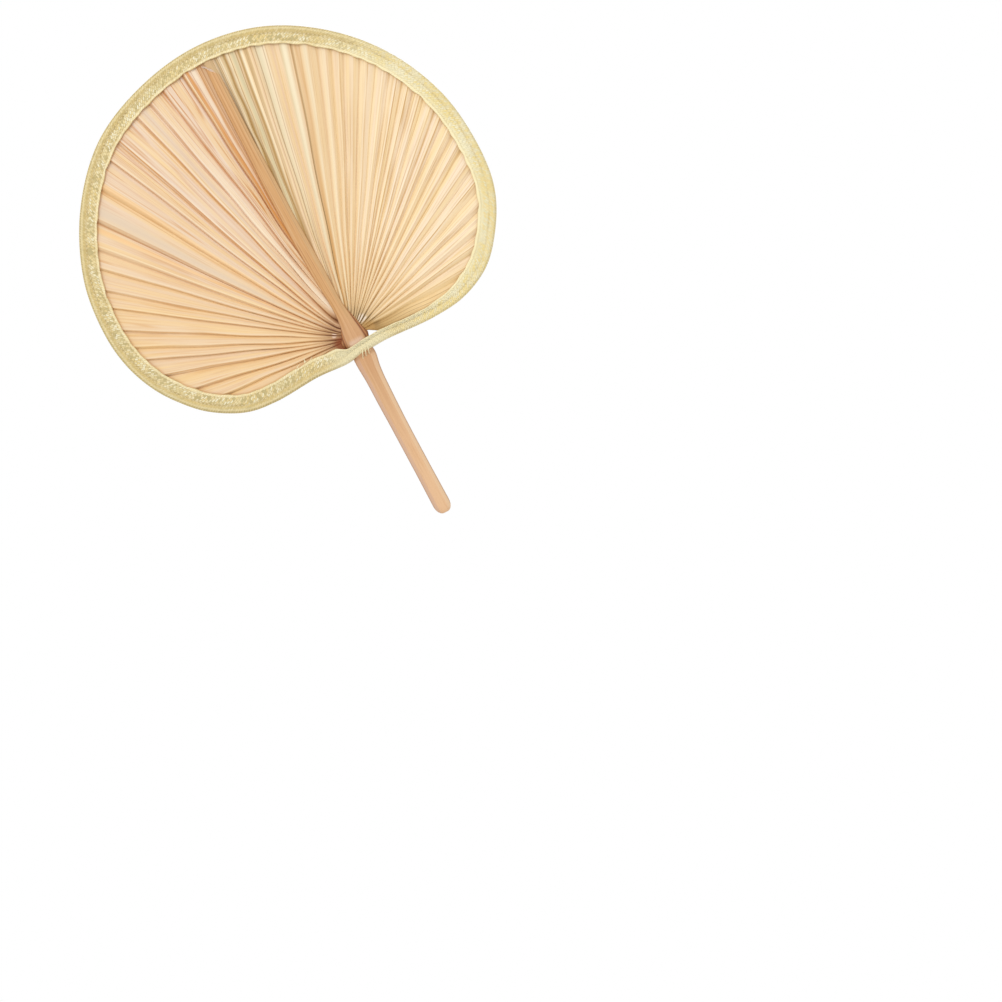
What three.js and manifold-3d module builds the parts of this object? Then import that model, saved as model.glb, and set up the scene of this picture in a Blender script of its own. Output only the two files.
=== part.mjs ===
import * as THREE from 'three';
import Module from 'manifold-3d';
import { mergeVertices } from 'three/addons/utils/BufferGeometryUtils.js';

// A palm leaf hand fan in millimetres. The handle stands along Z, X is to the right as the front is seen,
// and the front looks towards -Y. The origin is the middle of the grip. The stalk of the leaf is the handle
// and runs on through the blade as its midrib, with the pleated leaf segments growing from both its flanks.
// Two split cane hoops clamp the cut edge of the leaf and a folded braid, sewn through, covers them.

// Main sizes
const BLADE_WIDTH = 309;
const BLADE_HEIGHT = 261;
const HUB_HEIGHT = 84;
const HANDLE_LENGTH = 147.6;
const HANDLE_WIDTH = 14.8;
const HANDLE_DEPTH = 8;
const MIDRIB_LENGTH = 236;
const CLEARANCE = 0.3;

// Stalk. Rows of a station table are height, centre, width, front depth and back depth: heights as shares
// of the handle or midrib length from the hub, the others as shares of the handle's width and depth.
const HANDLE_STATION_SHARES = [
  [-1, 0, 0.8, 0.38, 0.38],
  [-0.988, 0, 0.94, 0.5, 0.5],
  [-0.75, 0, 0.9, 0.5, 0.5],
  [-0.5, 0, 0.925, 0.5, 0.5],
  [-0.28, 0, 1, 0.5, 0.5],
  [-0.165, 0, 1.09, 0.5, 0.5],
  [-0.1, 0, 1.1, 0.5, 0.5],
];
const MIDRIB_STATION_SHARES = [
  [0, 0, 1.02, 0.46, 0.43],
  [0.05, -0.02, 0.89, 0.43, 0.36],
  [0.123, -0.061, 0.703, 0.4, 0.3],
  [0.254, -0.135, 0.635, 0.37, 0.25],
  [0.424, -0.23, 0.608, 0.35, 0.225],
  [0.678, -0.318, 0.595, 0.325, 0.2],
  [0.869, -0.297, 0.54, 0.25, 0.165],
  [1, -0.284, 0.46, 0.13, 0.13],
];
// One section of the stalk as shares of its half width and of its front or back depth: a flat front facet
// between two broad bevels, and a flat back with small chamfers.
const STALK_SECTION_SHARES = [
  [-0.56, -1], [0.56, -1], [1, -0.35], [1, 0.55], [0.84, 1], [-0.84, 1], [-1, 0.55], [-1, -0.35],
];

// Rim outline as shares of the blade's width and height, from the hub. It starts at the neck and runs
// clockwise as the front is seen.
const RIM_OUTLINE_SHARES = [
  [0, -0.0575], [-0.045, -0.0645], [-0.12, -0.0605], [-0.235, -0.0685], [-0.31, -0.0575], [-0.392, -0.0065],
  [-0.443, 0.052], [-0.485, 0.121], [-0.517, 0.213], [-0.53, 0.32], [-0.516, 0.483], [-0.446, 0.669],
  [-0.3315, 0.819], [-0.181, 0.903], [-0.02, 0.9325], [0.139, 0.899], [0.2795, 0.802], [0.389, 0.66],
  [0.4575, 0.479], [0.473, 0.28], [0.457, 0.174], [0.416, 0.081], [0.359, 0.003], [0.28, -0.044],
  [0.193, -0.0575], [0.06, -0.0525],
];
const RIM_STEPS = 60;
const RIM_SEARCH_POINTS = 400;
const NECK_STEPS = 20;
const NECK_REACH = 30;
const NECK_PASSAGE_HALF = 10;
const NECK_LIFT_FADE = 16;

// Leaf. Angles are in degrees from the handle's axis at the hub, to the margin of each segment at the rim.
const LEAF_THICKNESS = 0.7;
const LEAF_EDGE_INSET = 1.6;
const PLEAT_DEPTH = 2.2;
const PLEAT_DEPTH_AT_BRAID_SHARE = 0.6;
const PLEAT_DEPTH_AT_HOOP_SHARE = 0.36;
const LEFT_MARGIN_ANGLES = [
  7, 11.3, 14.7, 18, 24, 27.5, 33.3, 39.5, 45.3, 49.2, 53.8, 57.5, 62.8, 67.3, 70.5, 76, 82.5, 89, 95.5, 101,
];
const RIGHT_MARGIN_ANGLES = [
  1.5, 5, 7.4, 11, 14.3, 19.1, 21.7, 24.2, 27.6, 31, 34.2, 37.2, 39.9, 42.8, 46.2, 49, 52.4, 56.5, 62, 67,
  71.5, 77, 82, 88.5, 98.5,
];
const MIDRIB_ANGLE = -1.1;
const LEFT_RIDGE_SHARE = 0.78;
const RIGHT_RIDGE_SHARE = 0.56;
const LEFT_ROOT_HEIGHT = -3;
const LEFT_ROOT_SPREAD = 3.1;
const RIGHT_ROOT_HEIGHT = -1.5;
const RIGHT_ROOT_SPREAD = 3.7;
const FIRST_ROOT_SHARE = 0.08;
const FOLD_BEND = 3;
const FOLD_BEND_REACH_SHARE = 0.35;
const SEGMENT_STEPS = 6;
const BASE_REACH = 20;
const BASE_FROM_ANGLE = 22;
const BASE_STEPS = 3;
const BASE_ROOT_PLEAT_SHARE = 0.7;

// Hastula, the small horny crest at the back where the leaf leaves its stalk
const HASTULA_HALF_WIDTH = 10.5;
const HASTULA_HEIGHT = 8.5;
const HASTULA_THICKNESS = 1.3;
const HASTULA_SAG_SHARE = 0.22;

// Rim hoops of split cane, and the folded braid over them
const HOOP_INSET = 1.3;
const HOOP_WIDTH = 2.8;
const HOOP_THICKNESS = 1;
const HOOP_SPLICE_GAP = 0.8;
const HOOP_SPLICE_PLACE = 26;
const LEAF_TO_HOOP_GAP = 0.45;
const BRAID_WIDTH = 13.7;
const BRAID_THICKNESS = 0.7;
const BRAID_VALLEY_INSET = 5.4;
const BRAID_VALLEY_WIDTH = 1.6;
// The rounded fold at the rim: insets as shares of the hoop's inset, and depths of the braid's outer face
const BRAID_FOLD_SHARES = [[0, 0.45], [0.45, 0.82], [1, 1]];
const BRAID_INNER_FOLD_SHARE = 0.4;
const BRAID_NECK_WIDTH_SHARE = 0.5;
const BRAID_NECK_RIGHT_REACH = 120;
const BRAID_NECK_LEFT_REACH = 22;

// Sewing thread
const THREAD_DIAMETER = 0.5;
const INNER_SEAM_INSET = 12.2;
const THREAD_SIDES = 4;
const NECK_STITCH_DIAMETER = 0.8;
const NECK_STITCH_SPACING = 3.2;
const NECK_STITCH_FAN_SHARE = 0.55;
const NECK_STITCH_RISE = 4;
const NECK_STITCH_DROP = 6.5;
const NECK_STITCH_STEPS = 8;
const NECK_STITCH_SIDES = 6;
// A strand's way from the braid down to the stalk, as shares across, in depth and downwards
const NECK_STITCH_PATH_SHARES = [[0, 0, 0], [0.4, 0, 0.35], [0.8, 0.7, 0.7], [1, 1, 1]];

const COLOURS = {
  stalk: 0xe2b88a,
  leafLeft: 0xeed0aa,
  leafRight: 0xf6dbaf,
  leafBase: 0xd9ab7c,
  cane: 0xd9bd85,
  braid: 0xe4d3a4,
  thread: 0xf3e6c2,
};

const degrees = THREE.MathUtils.degToRad;
const mix = THREE.MathUtils.lerp;

function finish(colour, roughness) {
  return new THREE.MeshStandardMaterial({ color: colour, roughness, metalness: 0 });
}

function named(name, geometry, material) {
  const mesh = new THREE.Mesh(geometry, material);
  mesh.name = name;
  return mesh;
}

// A closed body from its corners and triangles, turned so that its faces point out
function closedBody(corners, triangles) {
  let volume = 0;
  for (const [a, b, c] of triangles) {
    volume += corners[a].dot(new THREE.Vector3().crossVectors(corners[b], corners[c]));
  }
  const index = triangles.flatMap(([a, b, c]) => (volume < 0 ? [a, c, b] : [a, b, c]));
  const geometry = new THREE.BufferGeometry();
  geometry.setAttribute('position', new THREE.Float32BufferAttribute(corners.flatMap((p) => p.toArray()), 3));
  geometry.setIndex(index);
  return geometry;
}

// A skin through equal rings of corners, closed round each ring. Its ends are capped unless it is a loop.
function loft(rings, isLoop = false) {
  const sides = rings[0].length;
  const triangles = [];
  const spans = isLoop ? rings.length : rings.length - 1;
  for (let r = 0; r < spans; r++) {
    const next = (r + 1) % rings.length;
    for (let s = 0; s < sides; s++) {
      const t = (s + 1) % sides;
      triangles.push([r * sides + s, r * sides + t, next * sides + t]);
      triangles.push([r * sides + s, next * sides + t, next * sides + s]);
    }
  }
  if (!isLoop) {
    const last = (rings.length - 1) * sides;
    const flat = rings[0].map(flattened(rings[0]));
    const clockwise = THREE.ShapeUtils.isClockWise(flat);
    for (const [a, b, c] of THREE.ShapeUtils.triangulateShape(flat, [])) {
      const [start, end] = clockwise ? [[a, b, c], [a, c, b]] : [[a, c, b], [a, b, c]];
      triangles.push(start, end.map((corner) => last + corner));
    }
  }
  return closedBody(rings.flat(), triangles);
}

// A flat copy of a ring, in the two directions in which the ring is widest
function flattened(ring) {
  const size = new THREE.Box3().setFromPoints(ring).getSize(new THREE.Vector3()).toArray();
  const thinnest = size.indexOf(Math.min(...size));
  const [across, up] = [0, 1, 2].filter((axis) => axis !== thinnest);
  return (p) => new THREE.Vector2(p.getComponent(across), p.getComponent(up));
}

// Stalk and midrib

const stalkStations = [
  ...HANDLE_STATION_SHARES.map(([height, ...rest]) => [height * HANDLE_LENGTH, ...rest]),
  ...MIDRIB_STATION_SHARES.map(([height, ...rest]) => [height * MIDRIB_LENGTH, ...rest]),
].map(([height, centre, width, front, back]) => ({
  height,
  centre: centre * HANDLE_WIDTH,
  half: (width * HANDLE_WIDTH) / 2,
  front: front * HANDLE_DEPTH,
  back: back * HANDLE_DEPTH,
}));

function stalkAt(height) {
  const above = Math.max(1, stalkStations.findIndex((station) => station.height >= height));
  const [low, high] = [stalkStations[above - 1], stalkStations[above]];
  const share = (height - low.height) / (high.height - low.height);
  const between = (key) => mix(low[key], high[key], share);
  return { centre: between('centre'), half: between('half'), front: between('front'), back: between('back') };
}

function stalkBody(grow = 0) {
  const rings = stalkStations.map(({ height, centre, half, front, back }) =>
    STALK_SECTION_SHARES.map(([x, y]) => new THREE.Vector3(
      centre + x * (half + grow),
      y * ((y < 0 ? front : back) + grow),
      height,
    )));
  return loft(rings);
}

// A point on the flank of the midrib, clear of it, or straight above its tip: side is -1 for the left and
// 1 for the right
function flankPoint(side, height) {
  const { centre, half } = stalkAt(Math.min(height, MIDRIB_LENGTH));
  return new THREE.Vector2(centre + side * (half + CLEARANCE), height);
}

// Rim

const rimCurve = new THREE.CatmullRomCurve3(
  RIM_OUTLINE_SHARES.map(([x, z]) => new THREE.Vector3(x * BLADE_WIDTH, 0, z * BLADE_HEIGHT)),
  true,
  'centripetal',
);
rimCurve.arcLengthDivisions = RIM_SEARCH_POINTS * 2;
const rimLength = rimCurve.getLength();

// A place on the rim by its distance along it from the neck, with the direction towards the leaf
function rimPlace(distance) {
  const share = THREE.MathUtils.euclideanModulo(distance / rimLength, 1);
  const tangent = rimCurve.getTangentAt(share);
  return {
    distance: distance > rimLength / 2 ? distance - rimLength : distance,
    point: rimCurve.getPointAt(share),
    inward: new THREE.Vector3(tangent.z, 0, -tangent.x),
  };
}

// Places round the rim from the neck, close together where the hoops and the braid rise over the stalk
function rimPlaces() {
  const distances = [];
  for (let k = 0; k < NECK_STEPS; k++) distances.push(mix(-NECK_REACH, NECK_REACH, k / NECK_STEPS));
  for (let k = 0; k < RIM_STEPS; k++) distances.push(mix(NECK_REACH, rimLength - NECK_REACH, k / RIM_STEPS));
  return distances.map(rimPlace);
}

const outline = [];
for (let k = 0; k < RIM_SEARCH_POINTS; k++) outline.push(rimPlace((k / RIM_SEARCH_POINTS) * rimLength));

function rimDistance(x, z) {
  return Math.min(...outline.map(({ point }) => Math.hypot(point.x - x, point.z - z)));
}

// Where a ray from the hub meets the cut edge of the leaf
function leafEdgeAt(angle) {
  const edge = outline.map(({ point, inward }) => point.clone().addScaledVector(inward, LEAF_EDGE_INSET));
  const bearing = (p) => Math.atan2(p.x, p.z);
  for (let k = 0; k < edge.length; k++) {
    const [from, to] = [edge[k], edge[(k + 1) % edge.length]];
    const [low, high] = [bearing(from), bearing(to)];
    const wraps = Math.abs(high - low) > Math.PI;
    if (!wraps && low <= angle && angle < high) {
      const place = from.clone().lerp(to, (angle - low) / (high - low));
      return new THREE.Vector2(place.x, place.z);
    }
  }
  throw new Error('no leaf edge at this angle');
}

// Leaf

// The height at which a fold leaves the midrib: folds that lean little from it leave high up
function rootHeight(side, lean) {
  const base = side < 0 ? LEFT_ROOT_HEIGHT : RIGHT_ROOT_HEIGHT;
  const spread = side < 0 ? LEFT_ROOT_SPREAD : RIGHT_ROOT_SPREAD;
  return base + spread * (1 / Math.tan(degrees(lean) / 2) - 1);
}

// The margin between two leaf segments, from the midrib to the rim, nearly straight
function marginLine(side, angle) {
  const lean = Math.abs(side * angle - MIDRIB_ANGLE);
  const start = flankPoint(side, rootHeight(side, lean));
  const end = leafEdgeAt(degrees(side * angle));
  const bend = side * degrees(FOLD_BEND) * Math.sin(degrees(lean));
  const control = end.clone().sub(start).multiplyScalar(FOLD_BEND_REACH_SHARE)
    .rotateAround(new THREE.Vector2(), bend).add(start);
  const curve = new THREE.QuadraticBezierCurve(start, control, end);
  return { at: (share) => curve.getPoint(share), length: curve.getLength(), lean };
}

// The first segment's inner margin lies along the flank of the midrib, up to the cut edge of the leaf
function flankLine(side, lowest) {
  const top = leafEdgeAt(degrees(MIDRIB_ANGLE)).y;
  const from = mix(lowest, top, FIRST_ROOT_SHARE);
  return {
    at: (share) => flankPoint(side, mix(from, top, share)),
    length: top - from,
    lean: 0,
  };
}

// How far a fold stands out of the leaf's plane: less where the braid and the hoops press the leaf flat
function pleatDepth(place) {
  const distance = rimDistance(place.x, place.y);
  const hooped = HOOP_INSET + HOOP_WIDTH + CLEARANCE;
  if (distance < hooped) return PLEAT_DEPTH * PLEAT_DEPTH_AT_HOOP_SHARE;
  if (distance < BRAID_WIDTH) {
    const share = (distance - hooped) / (BRAID_WIDTH - hooped);
    return PLEAT_DEPTH * mix(PLEAT_DEPTH_AT_HOOP_SHARE, PLEAT_DEPTH_AT_BRAID_SHARE, share);
  }
  const share = Math.min(1, (distance - BRAID_WIDTH) / BRAID_WIDTH);
  return PLEAT_DEPTH * mix(PLEAT_DEPTH_AT_BRAID_SHARE, 1, share);
}

// A folded sheet over columns of points of its middle face, one thickness deep
function pleatedSheet(columns) {
  const rows = columns[0].length;
  const count = columns.length * rows;
  const corners = [];
  for (const lift of [-LEAF_THICKNESS / 2, LEAF_THICKNESS / 2]) {
    for (const p of columns.flat()) corners.push(new THREE.Vector3(p.x, p.y + lift, p.z));
  }
  const triangles = [];
  const quad = (a, b, c, d) => triangles.push([a, b, c], [a, c, d]);
  for (let c = 0; c + 1 < columns.length; c++) {
    for (let r = 0; r + 1 < rows; r++) {
      const [a, b] = [c * rows + r, (c + 1) * rows + r];
      quad(a, b, b + 1, a + 1);
      quad(count + a, count + a + 1, count + b + 1, count + b);
    }
    for (const [r, turn] of [[0, 1], [rows - 1, 0]]) {
      const ends = turn ? [c * rows + r, (c + 1) * rows + r] : [(c + 1) * rows + r, c * rows + r];
      quad(ends[0], count + ends[0], count + ends[1], ends[1]);
    }
  }
  const lastColumn = (columns.length - 1) * rows;
  for (let r = 0; r + 1 < rows; r++) {
    quad(r, r + 1, count + r + 1, count + r);
    quad(lastColumn + r + 1, lastColumn + r, count + lastColumn + r, count + lastColumn + r + 1);
  }
  return closedBody(corners, triangles);
}

// Columns of fold points between two margins: the inner margin, the ridge that is the segment's own
// midrib, and the outer margin. Margins stand back by half the clearance, if asked to.
function segmentColumns(inner, outer, ridgeShare, starts, ends, steps, standBack) {
  const columns = [[], [], []];
  for (let k = 0; k <= steps; k++) {
    const margins = [inner, outer].map((line, m) => line.at(mix(starts[m], ends[m], k / steps)));
    const ridge = margins[0].clone().lerp(margins[1], ridgeShare);
    margins.forEach((margin, m) => {
      const room = margin.distanceTo(ridge);
      const place = margin.clone().lerp(ridge, Math.min(standBack[m] / room, ridgeShare / 2));
      const depth = pleatDepth(place);
      columns[2 * m].push(new THREE.Vector3(place.x, depth, place.y));
    });
    columns[1].push(new THREE.Vector3(ridge.x, -pleatDepth(ridge), ridge.y));
  }
  return columns;
}

// One half of the blade: the fused base next to the hub and the segments that fan out from it
function leafHalf(side, angles, ridgeShare, colour) {
  const word = side < 0 ? 'left' : 'right';
  const margins = angles.map((angle) => marginLine(side, angle));
  const lines = [flankLine(side, rootHeight(side, margins[0].lean)), ...margins];
  const baseFrom = lines.findIndex((line) => line.lean >= BASE_FROM_ANGLE);
  const half = CLEARANCE / 2;
  const pieces = new THREE.Group();

  const baseColumns = [];
  for (let k = baseFrom; k + 1 < lines.length; k++) {
    const pair = [lines[k], lines[k + 1]];
    const ends = pair.map((line) => BASE_REACH / line.length);
    const columns = segmentColumns(...pair, ridgeShare, [0, 0], ends, BASE_STEPS, [0, 0]);
    for (const column of columns) column[0].y *= BASE_ROOT_PLEAT_SHARE;
    baseColumns.push(columns[0], columns[1]);
    if (k + 2 === lines.length) baseColumns.push(columns[2]);
  }
  pieces.add(named(`leaf_base_${word}`, pleatedSheet(baseColumns), finish(COLOURS.leafBase, 0.7)));

  for (let k = 0; k + 1 < lines.length; k++) {
    const pair = [lines[k], lines[k + 1]];
    const beyondBase = (line) => (k < baseFrom ? 0 : (BASE_REACH + CLEARANCE) / line.length);
    const besideBase = k + 1 === baseFrom ? CLEARANCE : half;
    const columns = segmentColumns(
      ...pair, ridgeShare, pair.map(beyondBase), [1, 1], SEGMENT_STEPS, [k === 0 ? 0 : half, besideBase],
    );
    const number = String(k + 1).padStart(2, '0');
    pieces.add(named(`leaf_segment_${word}_${number}`, pleatedSheet(columns), finish(colour, 0.65)));
  }
  return pieces;
}

// Hastula, a low crest that lies on the back of the stalk at the hub
function hastula() {
  const shape = new THREE.Shape();
  shape.moveTo(-HASTULA_HALF_WIDTH, 0);
  shape.quadraticCurveTo(0, -HASTULA_HEIGHT * HASTULA_SAG_SHARE, HASTULA_HALF_WIDTH, 0);
  shape.quadraticCurveTo(HASTULA_HALF_WIDTH / 2, HASTULA_HEIGHT, 0, HASTULA_HEIGHT);
  shape.quadraticCurveTo(-HASTULA_HALF_WIDTH / 2, HASTULA_HEIGHT, -HASTULA_HALF_WIDTH, 0);
  const geometry = new THREE.ExtrudeGeometry(shape, {
    depth: HASTULA_THICKNESS, bevelEnabled: false, curveSegments: 6,
  });
  const crest = named('hastula', geometry, finish(COLOURS.stalk, 0.6));
  crest.rotation.x = Math.PI / 2;
  crest.position.set(0, stalkAt(0).back + CLEARANCE + HASTULA_THICKNESS, HASTULA_HEIGHT * HASTULA_SAG_SHARE);
  return crest;
}

// Hoops and braid. A section is a list of inset from the rim and distance from the leaf's plane; the front
// is negative. Both faces rise where the stalk passes between them.

const hoopInner = PLEAT_DEPTH * PLEAT_DEPTH_AT_HOOP_SHARE + LEAF_THICKNESS / 2 + LEAF_TO_HOOP_GAP;
const hoopOuter = hoopInner + HOOP_THICKNESS;
const braidInner = hoopOuter + CLEARANCE;
const braidOuter = braidInner + BRAID_THICKNESS;
const braidFlatInner = PLEAT_DEPTH * PLEAT_DEPTH_AT_BRAID_SHARE + LEAF_THICKNESS / 2 + CLEARANCE;
const braidFlatOuter = braidFlatInner + BRAID_THICKNESS;
const hoopEnd = HOOP_INSET + HOOP_WIDTH;

function neckLift(distance) {
  const away = Math.abs(distance) - NECK_PASSAGE_HALF;
  const rise = HANDLE_DEPTH / 2 + CLEARANCE - hoopInner;
  return rise * (1 - THREE.MathUtils.smoothstep(away, 0, NECK_LIFT_FADE));
}

// The braid is drawn in near the neck, mostly on its right
function drawnIn(distance) {
  const reach = distance > 0 ? BRAID_NECK_LEFT_REACH : BRAID_NECK_RIGHT_REACH;
  const share = 1 - THREE.MathUtils.smoothstep(Math.abs(distance), reach / 3, reach);
  return mix(1, BRAID_NECK_WIDTH_SHARE, share);
}

function sectionAt(place, section) {
  const lift = neckLift(place.distance);
  const narrow = drawnIn(place.distance);
  return section.map(([inset, depth]) => {
    const inward = inset > hoopEnd + BRAID_VALLEY_WIDTH
      ? mix(BRAID_VALLEY_INSET, inset, narrow)
      : inset;
    const p = place.point.clone().addScaledVector(place.inward, inward);
    p.y = depth + Math.sign(depth) * lift;
    return p;
  });
}

function rimHoop(side) {
  const section = [
    [HOOP_INSET, side * hoopInner], [hoopEnd, side * hoopInner],
    [hoopEnd, side * hoopOuter], [HOOP_INSET, side * hoopOuter],
  ];
  const splice = side * HOOP_SPLICE_PLACE;
  const inside = rimPlaces().filter(({ distance }) => Math.abs(distance - splice) > HOOP_SPLICE_GAP * 2)
    .sort((one, other) => one.distance - other.distance);
  const past = inside.filter(({ distance }) => distance > splice);
  const before = inside.filter(({ distance }) => distance < splice);
  const places = [
    rimPlace(splice + HOOP_SPLICE_GAP / 2), ...past, ...before, rimPlace(splice - HOOP_SPLICE_GAP / 2),
  ];
  const name = side < 0 ? 'rim_hoop_front' : 'rim_hoop_back';
  return named(name, loft(places.map((place) => sectionAt(place, section))), finish(COLOURS.cane, 0.6));
}

// The braid's front half section from the fold inwards on its outer face, and back on its inner face
function braidSection() {
  const outer = [
    ...BRAID_FOLD_SHARES.map(([inset, depth]) => [inset * HOOP_INSET, depth * braidOuter]),
    [hoopEnd + CLEARANCE, braidOuter],
    [BRAID_VALLEY_INSET, braidFlatOuter],
    [BRAID_WIDTH, braidFlatOuter],
  ];
  const inner = [
    [BRAID_WIDTH, braidFlatInner],
    [BRAID_VALLEY_INSET, braidFlatInner],
    [hoopEnd + CLEARANCE, braidInner],
    [HOOP_INSET, braidInner],
    [BRAID_THICKNESS, braidInner * BRAID_INNER_FOLD_SHARE],
  ];
  const front = (points) => points.map(([inset, depth]) => [inset, -depth]);
  return [...front(outer), ...front(inner), ...inner.toReversed(), ...outer.toReversed()];
}

const wasm = await Module();
wasm.setup();

function solidFrom(geometry) {
  const bare = geometry.clone();
  bare.deleteAttribute('normal');
  bare.deleteAttribute('uv');
  const merged = mergeVertices(bare);
  return new wasm.Manifold(new wasm.Mesh({
    numProp: 3,
    vertProperties: new Float32Array(merged.attributes.position.array),
    triVerts: new Uint32Array(merged.index.array),
  }));
}

function geometryFrom(solid) {
  const { vertProperties, triVerts } = solid.getMesh();
  const geometry = new THREE.BufferGeometry();
  geometry.setAttribute('position', new THREE.BufferAttribute(new Float32Array(vertProperties), 3));
  geometry.setIndex(new THREE.BufferAttribute(new Uint32Array(triVerts), 1));
  return geometry;
}

// The braid is one folded tape all round the rim, slit at its fold where the stalk passes through
function bindingBraid() {
  const section = braidSection();
  const tape = solidFrom(loft(rimPlaces().map((place) => sectionAt(place, section)), true));
  const slit = tape.subtract(solidFrom(stalkBody(CLEARANCE)));
  return named('binding_braid', geometryFrom(slit), finish(COLOURS.braid, 0.8));
}

// A sewn row of thread that lies in the braid all round
function seamThread(name, side, inset, faceDepth) {
  const radius = THREAD_DIAMETER / 2;
  const depth = faceDepth + CLEARANCE + radius;
  const section = [];
  for (let k = 0; k < THREAD_SIDES; k++) {
    const turn = (k / THREAD_SIDES) * 2 * Math.PI;
    section.push([inset + radius * Math.cos(turn), side * (depth + radius * Math.sin(turn))]);
  }
  const rings = rimPlaces().map((place) => sectionAt(place, section));
  return named(name, loft(rings, true), finish(COLOURS.thread, 0.75));
}

// Strands that tie the braid to the front of the stalk, fanned out below it
function neckStitch(name, column) {
  const radius = NECK_STITCH_DIAMETER / 2;
  const neck = rimPlace(0).point.z;
  const over = -(braidOuter + neckLift(0) + CLEARANCE + radius);
  const on = -(HANDLE_DEPTH / 2 + CLEARANCE + radius);
  const top = column * NECK_STITCH_SPACING * NECK_STITCH_FAN_SHARE;
  const foot = column * NECK_STITCH_SPACING;
  const places = NECK_STITCH_PATH_SHARES.map(([across, depth, down]) => new THREE.Vector3(
    mix(top, foot, across),
    mix(over, on, depth),
    mix(neck + NECK_STITCH_RISE, neck - NECK_STITCH_DROP, down),
  ));
  const path = new THREE.CatmullRomCurve3(places);
  const round = new THREE.Path().absarc(0, 0, radius, 0, 2 * Math.PI).getPoints(NECK_STITCH_SIDES);
  const section = new THREE.Shape(round.slice(0, NECK_STITCH_SIDES));
  const geometry = new THREE.ExtrudeGeometry(section, { steps: NECK_STITCH_STEPS, extrudePath: path });
  return named(name, geometry, finish(COLOURS.thread, 0.75));
}

const fan = new THREE.Group();
const leaf = new THREE.Group();
leaf.position.z = HUB_HEIGHT;
leaf.add(named('stalk', stalkBody(), finish(COLOURS.stalk, 0.55)));
leaf.add(hastula());
leaf.add(leafHalf(-1, LEFT_MARGIN_ANGLES, LEFT_RIDGE_SHARE, COLOURS.leafLeft));
leaf.add(leafHalf(1, RIGHT_MARGIN_ANGLES, RIGHT_RIDGE_SHARE, COLOURS.leafRight));
for (const side of [-1, 1]) {
  const face = side < 0 ? 'front' : 'back';
  leaf.add(rimHoop(side));
  leaf.add(seamThread(`seam_outer_${face}`, side, BRAID_VALLEY_INSET, braidFlatOuter));
  leaf.add(seamThread(`seam_inner_${face}`, side, INNER_SEAM_INSET, braidFlatOuter));
}
leaf.add(bindingBraid());
['left', 'middle', 'right'].forEach((place, k) => leaf.add(neckStitch(`neck_stitch_${place}`, k - 1)));
fan.add(leaf);

export default fan;
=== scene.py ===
# %% [markdown]
# # A palm leaf hand fan
# The fan is one dried leaf of a fan palm. Its stalk is the handle, and runs on through the blade as the
# midrib. The pleated leaf is trimmed to a broad rounded blade, and a folded straw braid is sewn round the
# cut. The solid model is packed already, so this lesson loads it as a fixed frame and gives each piece
# its looks.

# %% Load the packed model
import math

import bpy
import numpy as np
from mathutils import Matrix, Vector


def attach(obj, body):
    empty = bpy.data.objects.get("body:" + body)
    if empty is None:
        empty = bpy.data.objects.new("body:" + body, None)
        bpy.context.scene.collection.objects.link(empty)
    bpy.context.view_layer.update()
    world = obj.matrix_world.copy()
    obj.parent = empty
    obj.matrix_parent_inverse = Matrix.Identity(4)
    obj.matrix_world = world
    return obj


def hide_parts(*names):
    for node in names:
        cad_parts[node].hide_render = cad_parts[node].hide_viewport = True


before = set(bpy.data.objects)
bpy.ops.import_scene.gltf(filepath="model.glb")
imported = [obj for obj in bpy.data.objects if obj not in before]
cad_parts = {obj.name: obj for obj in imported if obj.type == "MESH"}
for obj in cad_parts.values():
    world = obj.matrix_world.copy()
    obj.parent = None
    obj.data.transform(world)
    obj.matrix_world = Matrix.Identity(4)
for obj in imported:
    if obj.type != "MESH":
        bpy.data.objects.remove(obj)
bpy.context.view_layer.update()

# %% [markdown]
# ## Sizes
# All sizes are in metres, in the frame of the solid model: X to the right as the front is seen, Z up the
# handle, the front towards -Y. The hub is where the leaf leaves the stalk. Outlines are kept as shares of
# the blade's width and height, so that one number resizes them.

# %% Main sizes
BLADE_WIDTH = 0.309
BLADE_HEIGHT = 0.261
HUB = 0.084
HANDLE_LENGTH = 0.1476
HANDLE_WIDTH = 0.0148
HANDLE_DEPTH = 0.008
MIDRIB_LENGTH = 0.236
print("blade", BLADE_WIDTH, "by", BLADE_HEIGHT, "m, handle", HANDLE_LENGTH, "m below the hub")

# %% [markdown]
# ## The rim
# The rim of the real fan is cut by eye, so it is wider on the left and nearly straight along the bottom.
# A few given points with a smooth curve through them draw such a line better than arcs do. The curve
# starts at the neck and runs to the left, and everything round the rim is placed by its distance along it.

# %% The rim curve
RIM_SHARES = [
    (0, -0.0575), (-0.045, -0.0645), (-0.12, -0.0605), (-0.235, -0.0685), (-0.31, -0.0575),
    (-0.392, -0.0065), (-0.443, 0.052), (-0.485, 0.121), (-0.517, 0.213), (-0.53, 0.32),
    (-0.516, 0.483), (-0.446, 0.669), (-0.3315, 0.819), (-0.181, 0.903), (-0.02, 0.9325),
    (0.139, 0.899), (0.2795, 0.802), (0.389, 0.66), (0.4575, 0.479), (0.473, 0.28),
    (0.457, 0.174), (0.416, 0.081), (0.359, 0.003), (0.28, -0.044), (0.193, -0.0575),
    (0.06, -0.0525),
]
RIM_STEPS = 60


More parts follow.
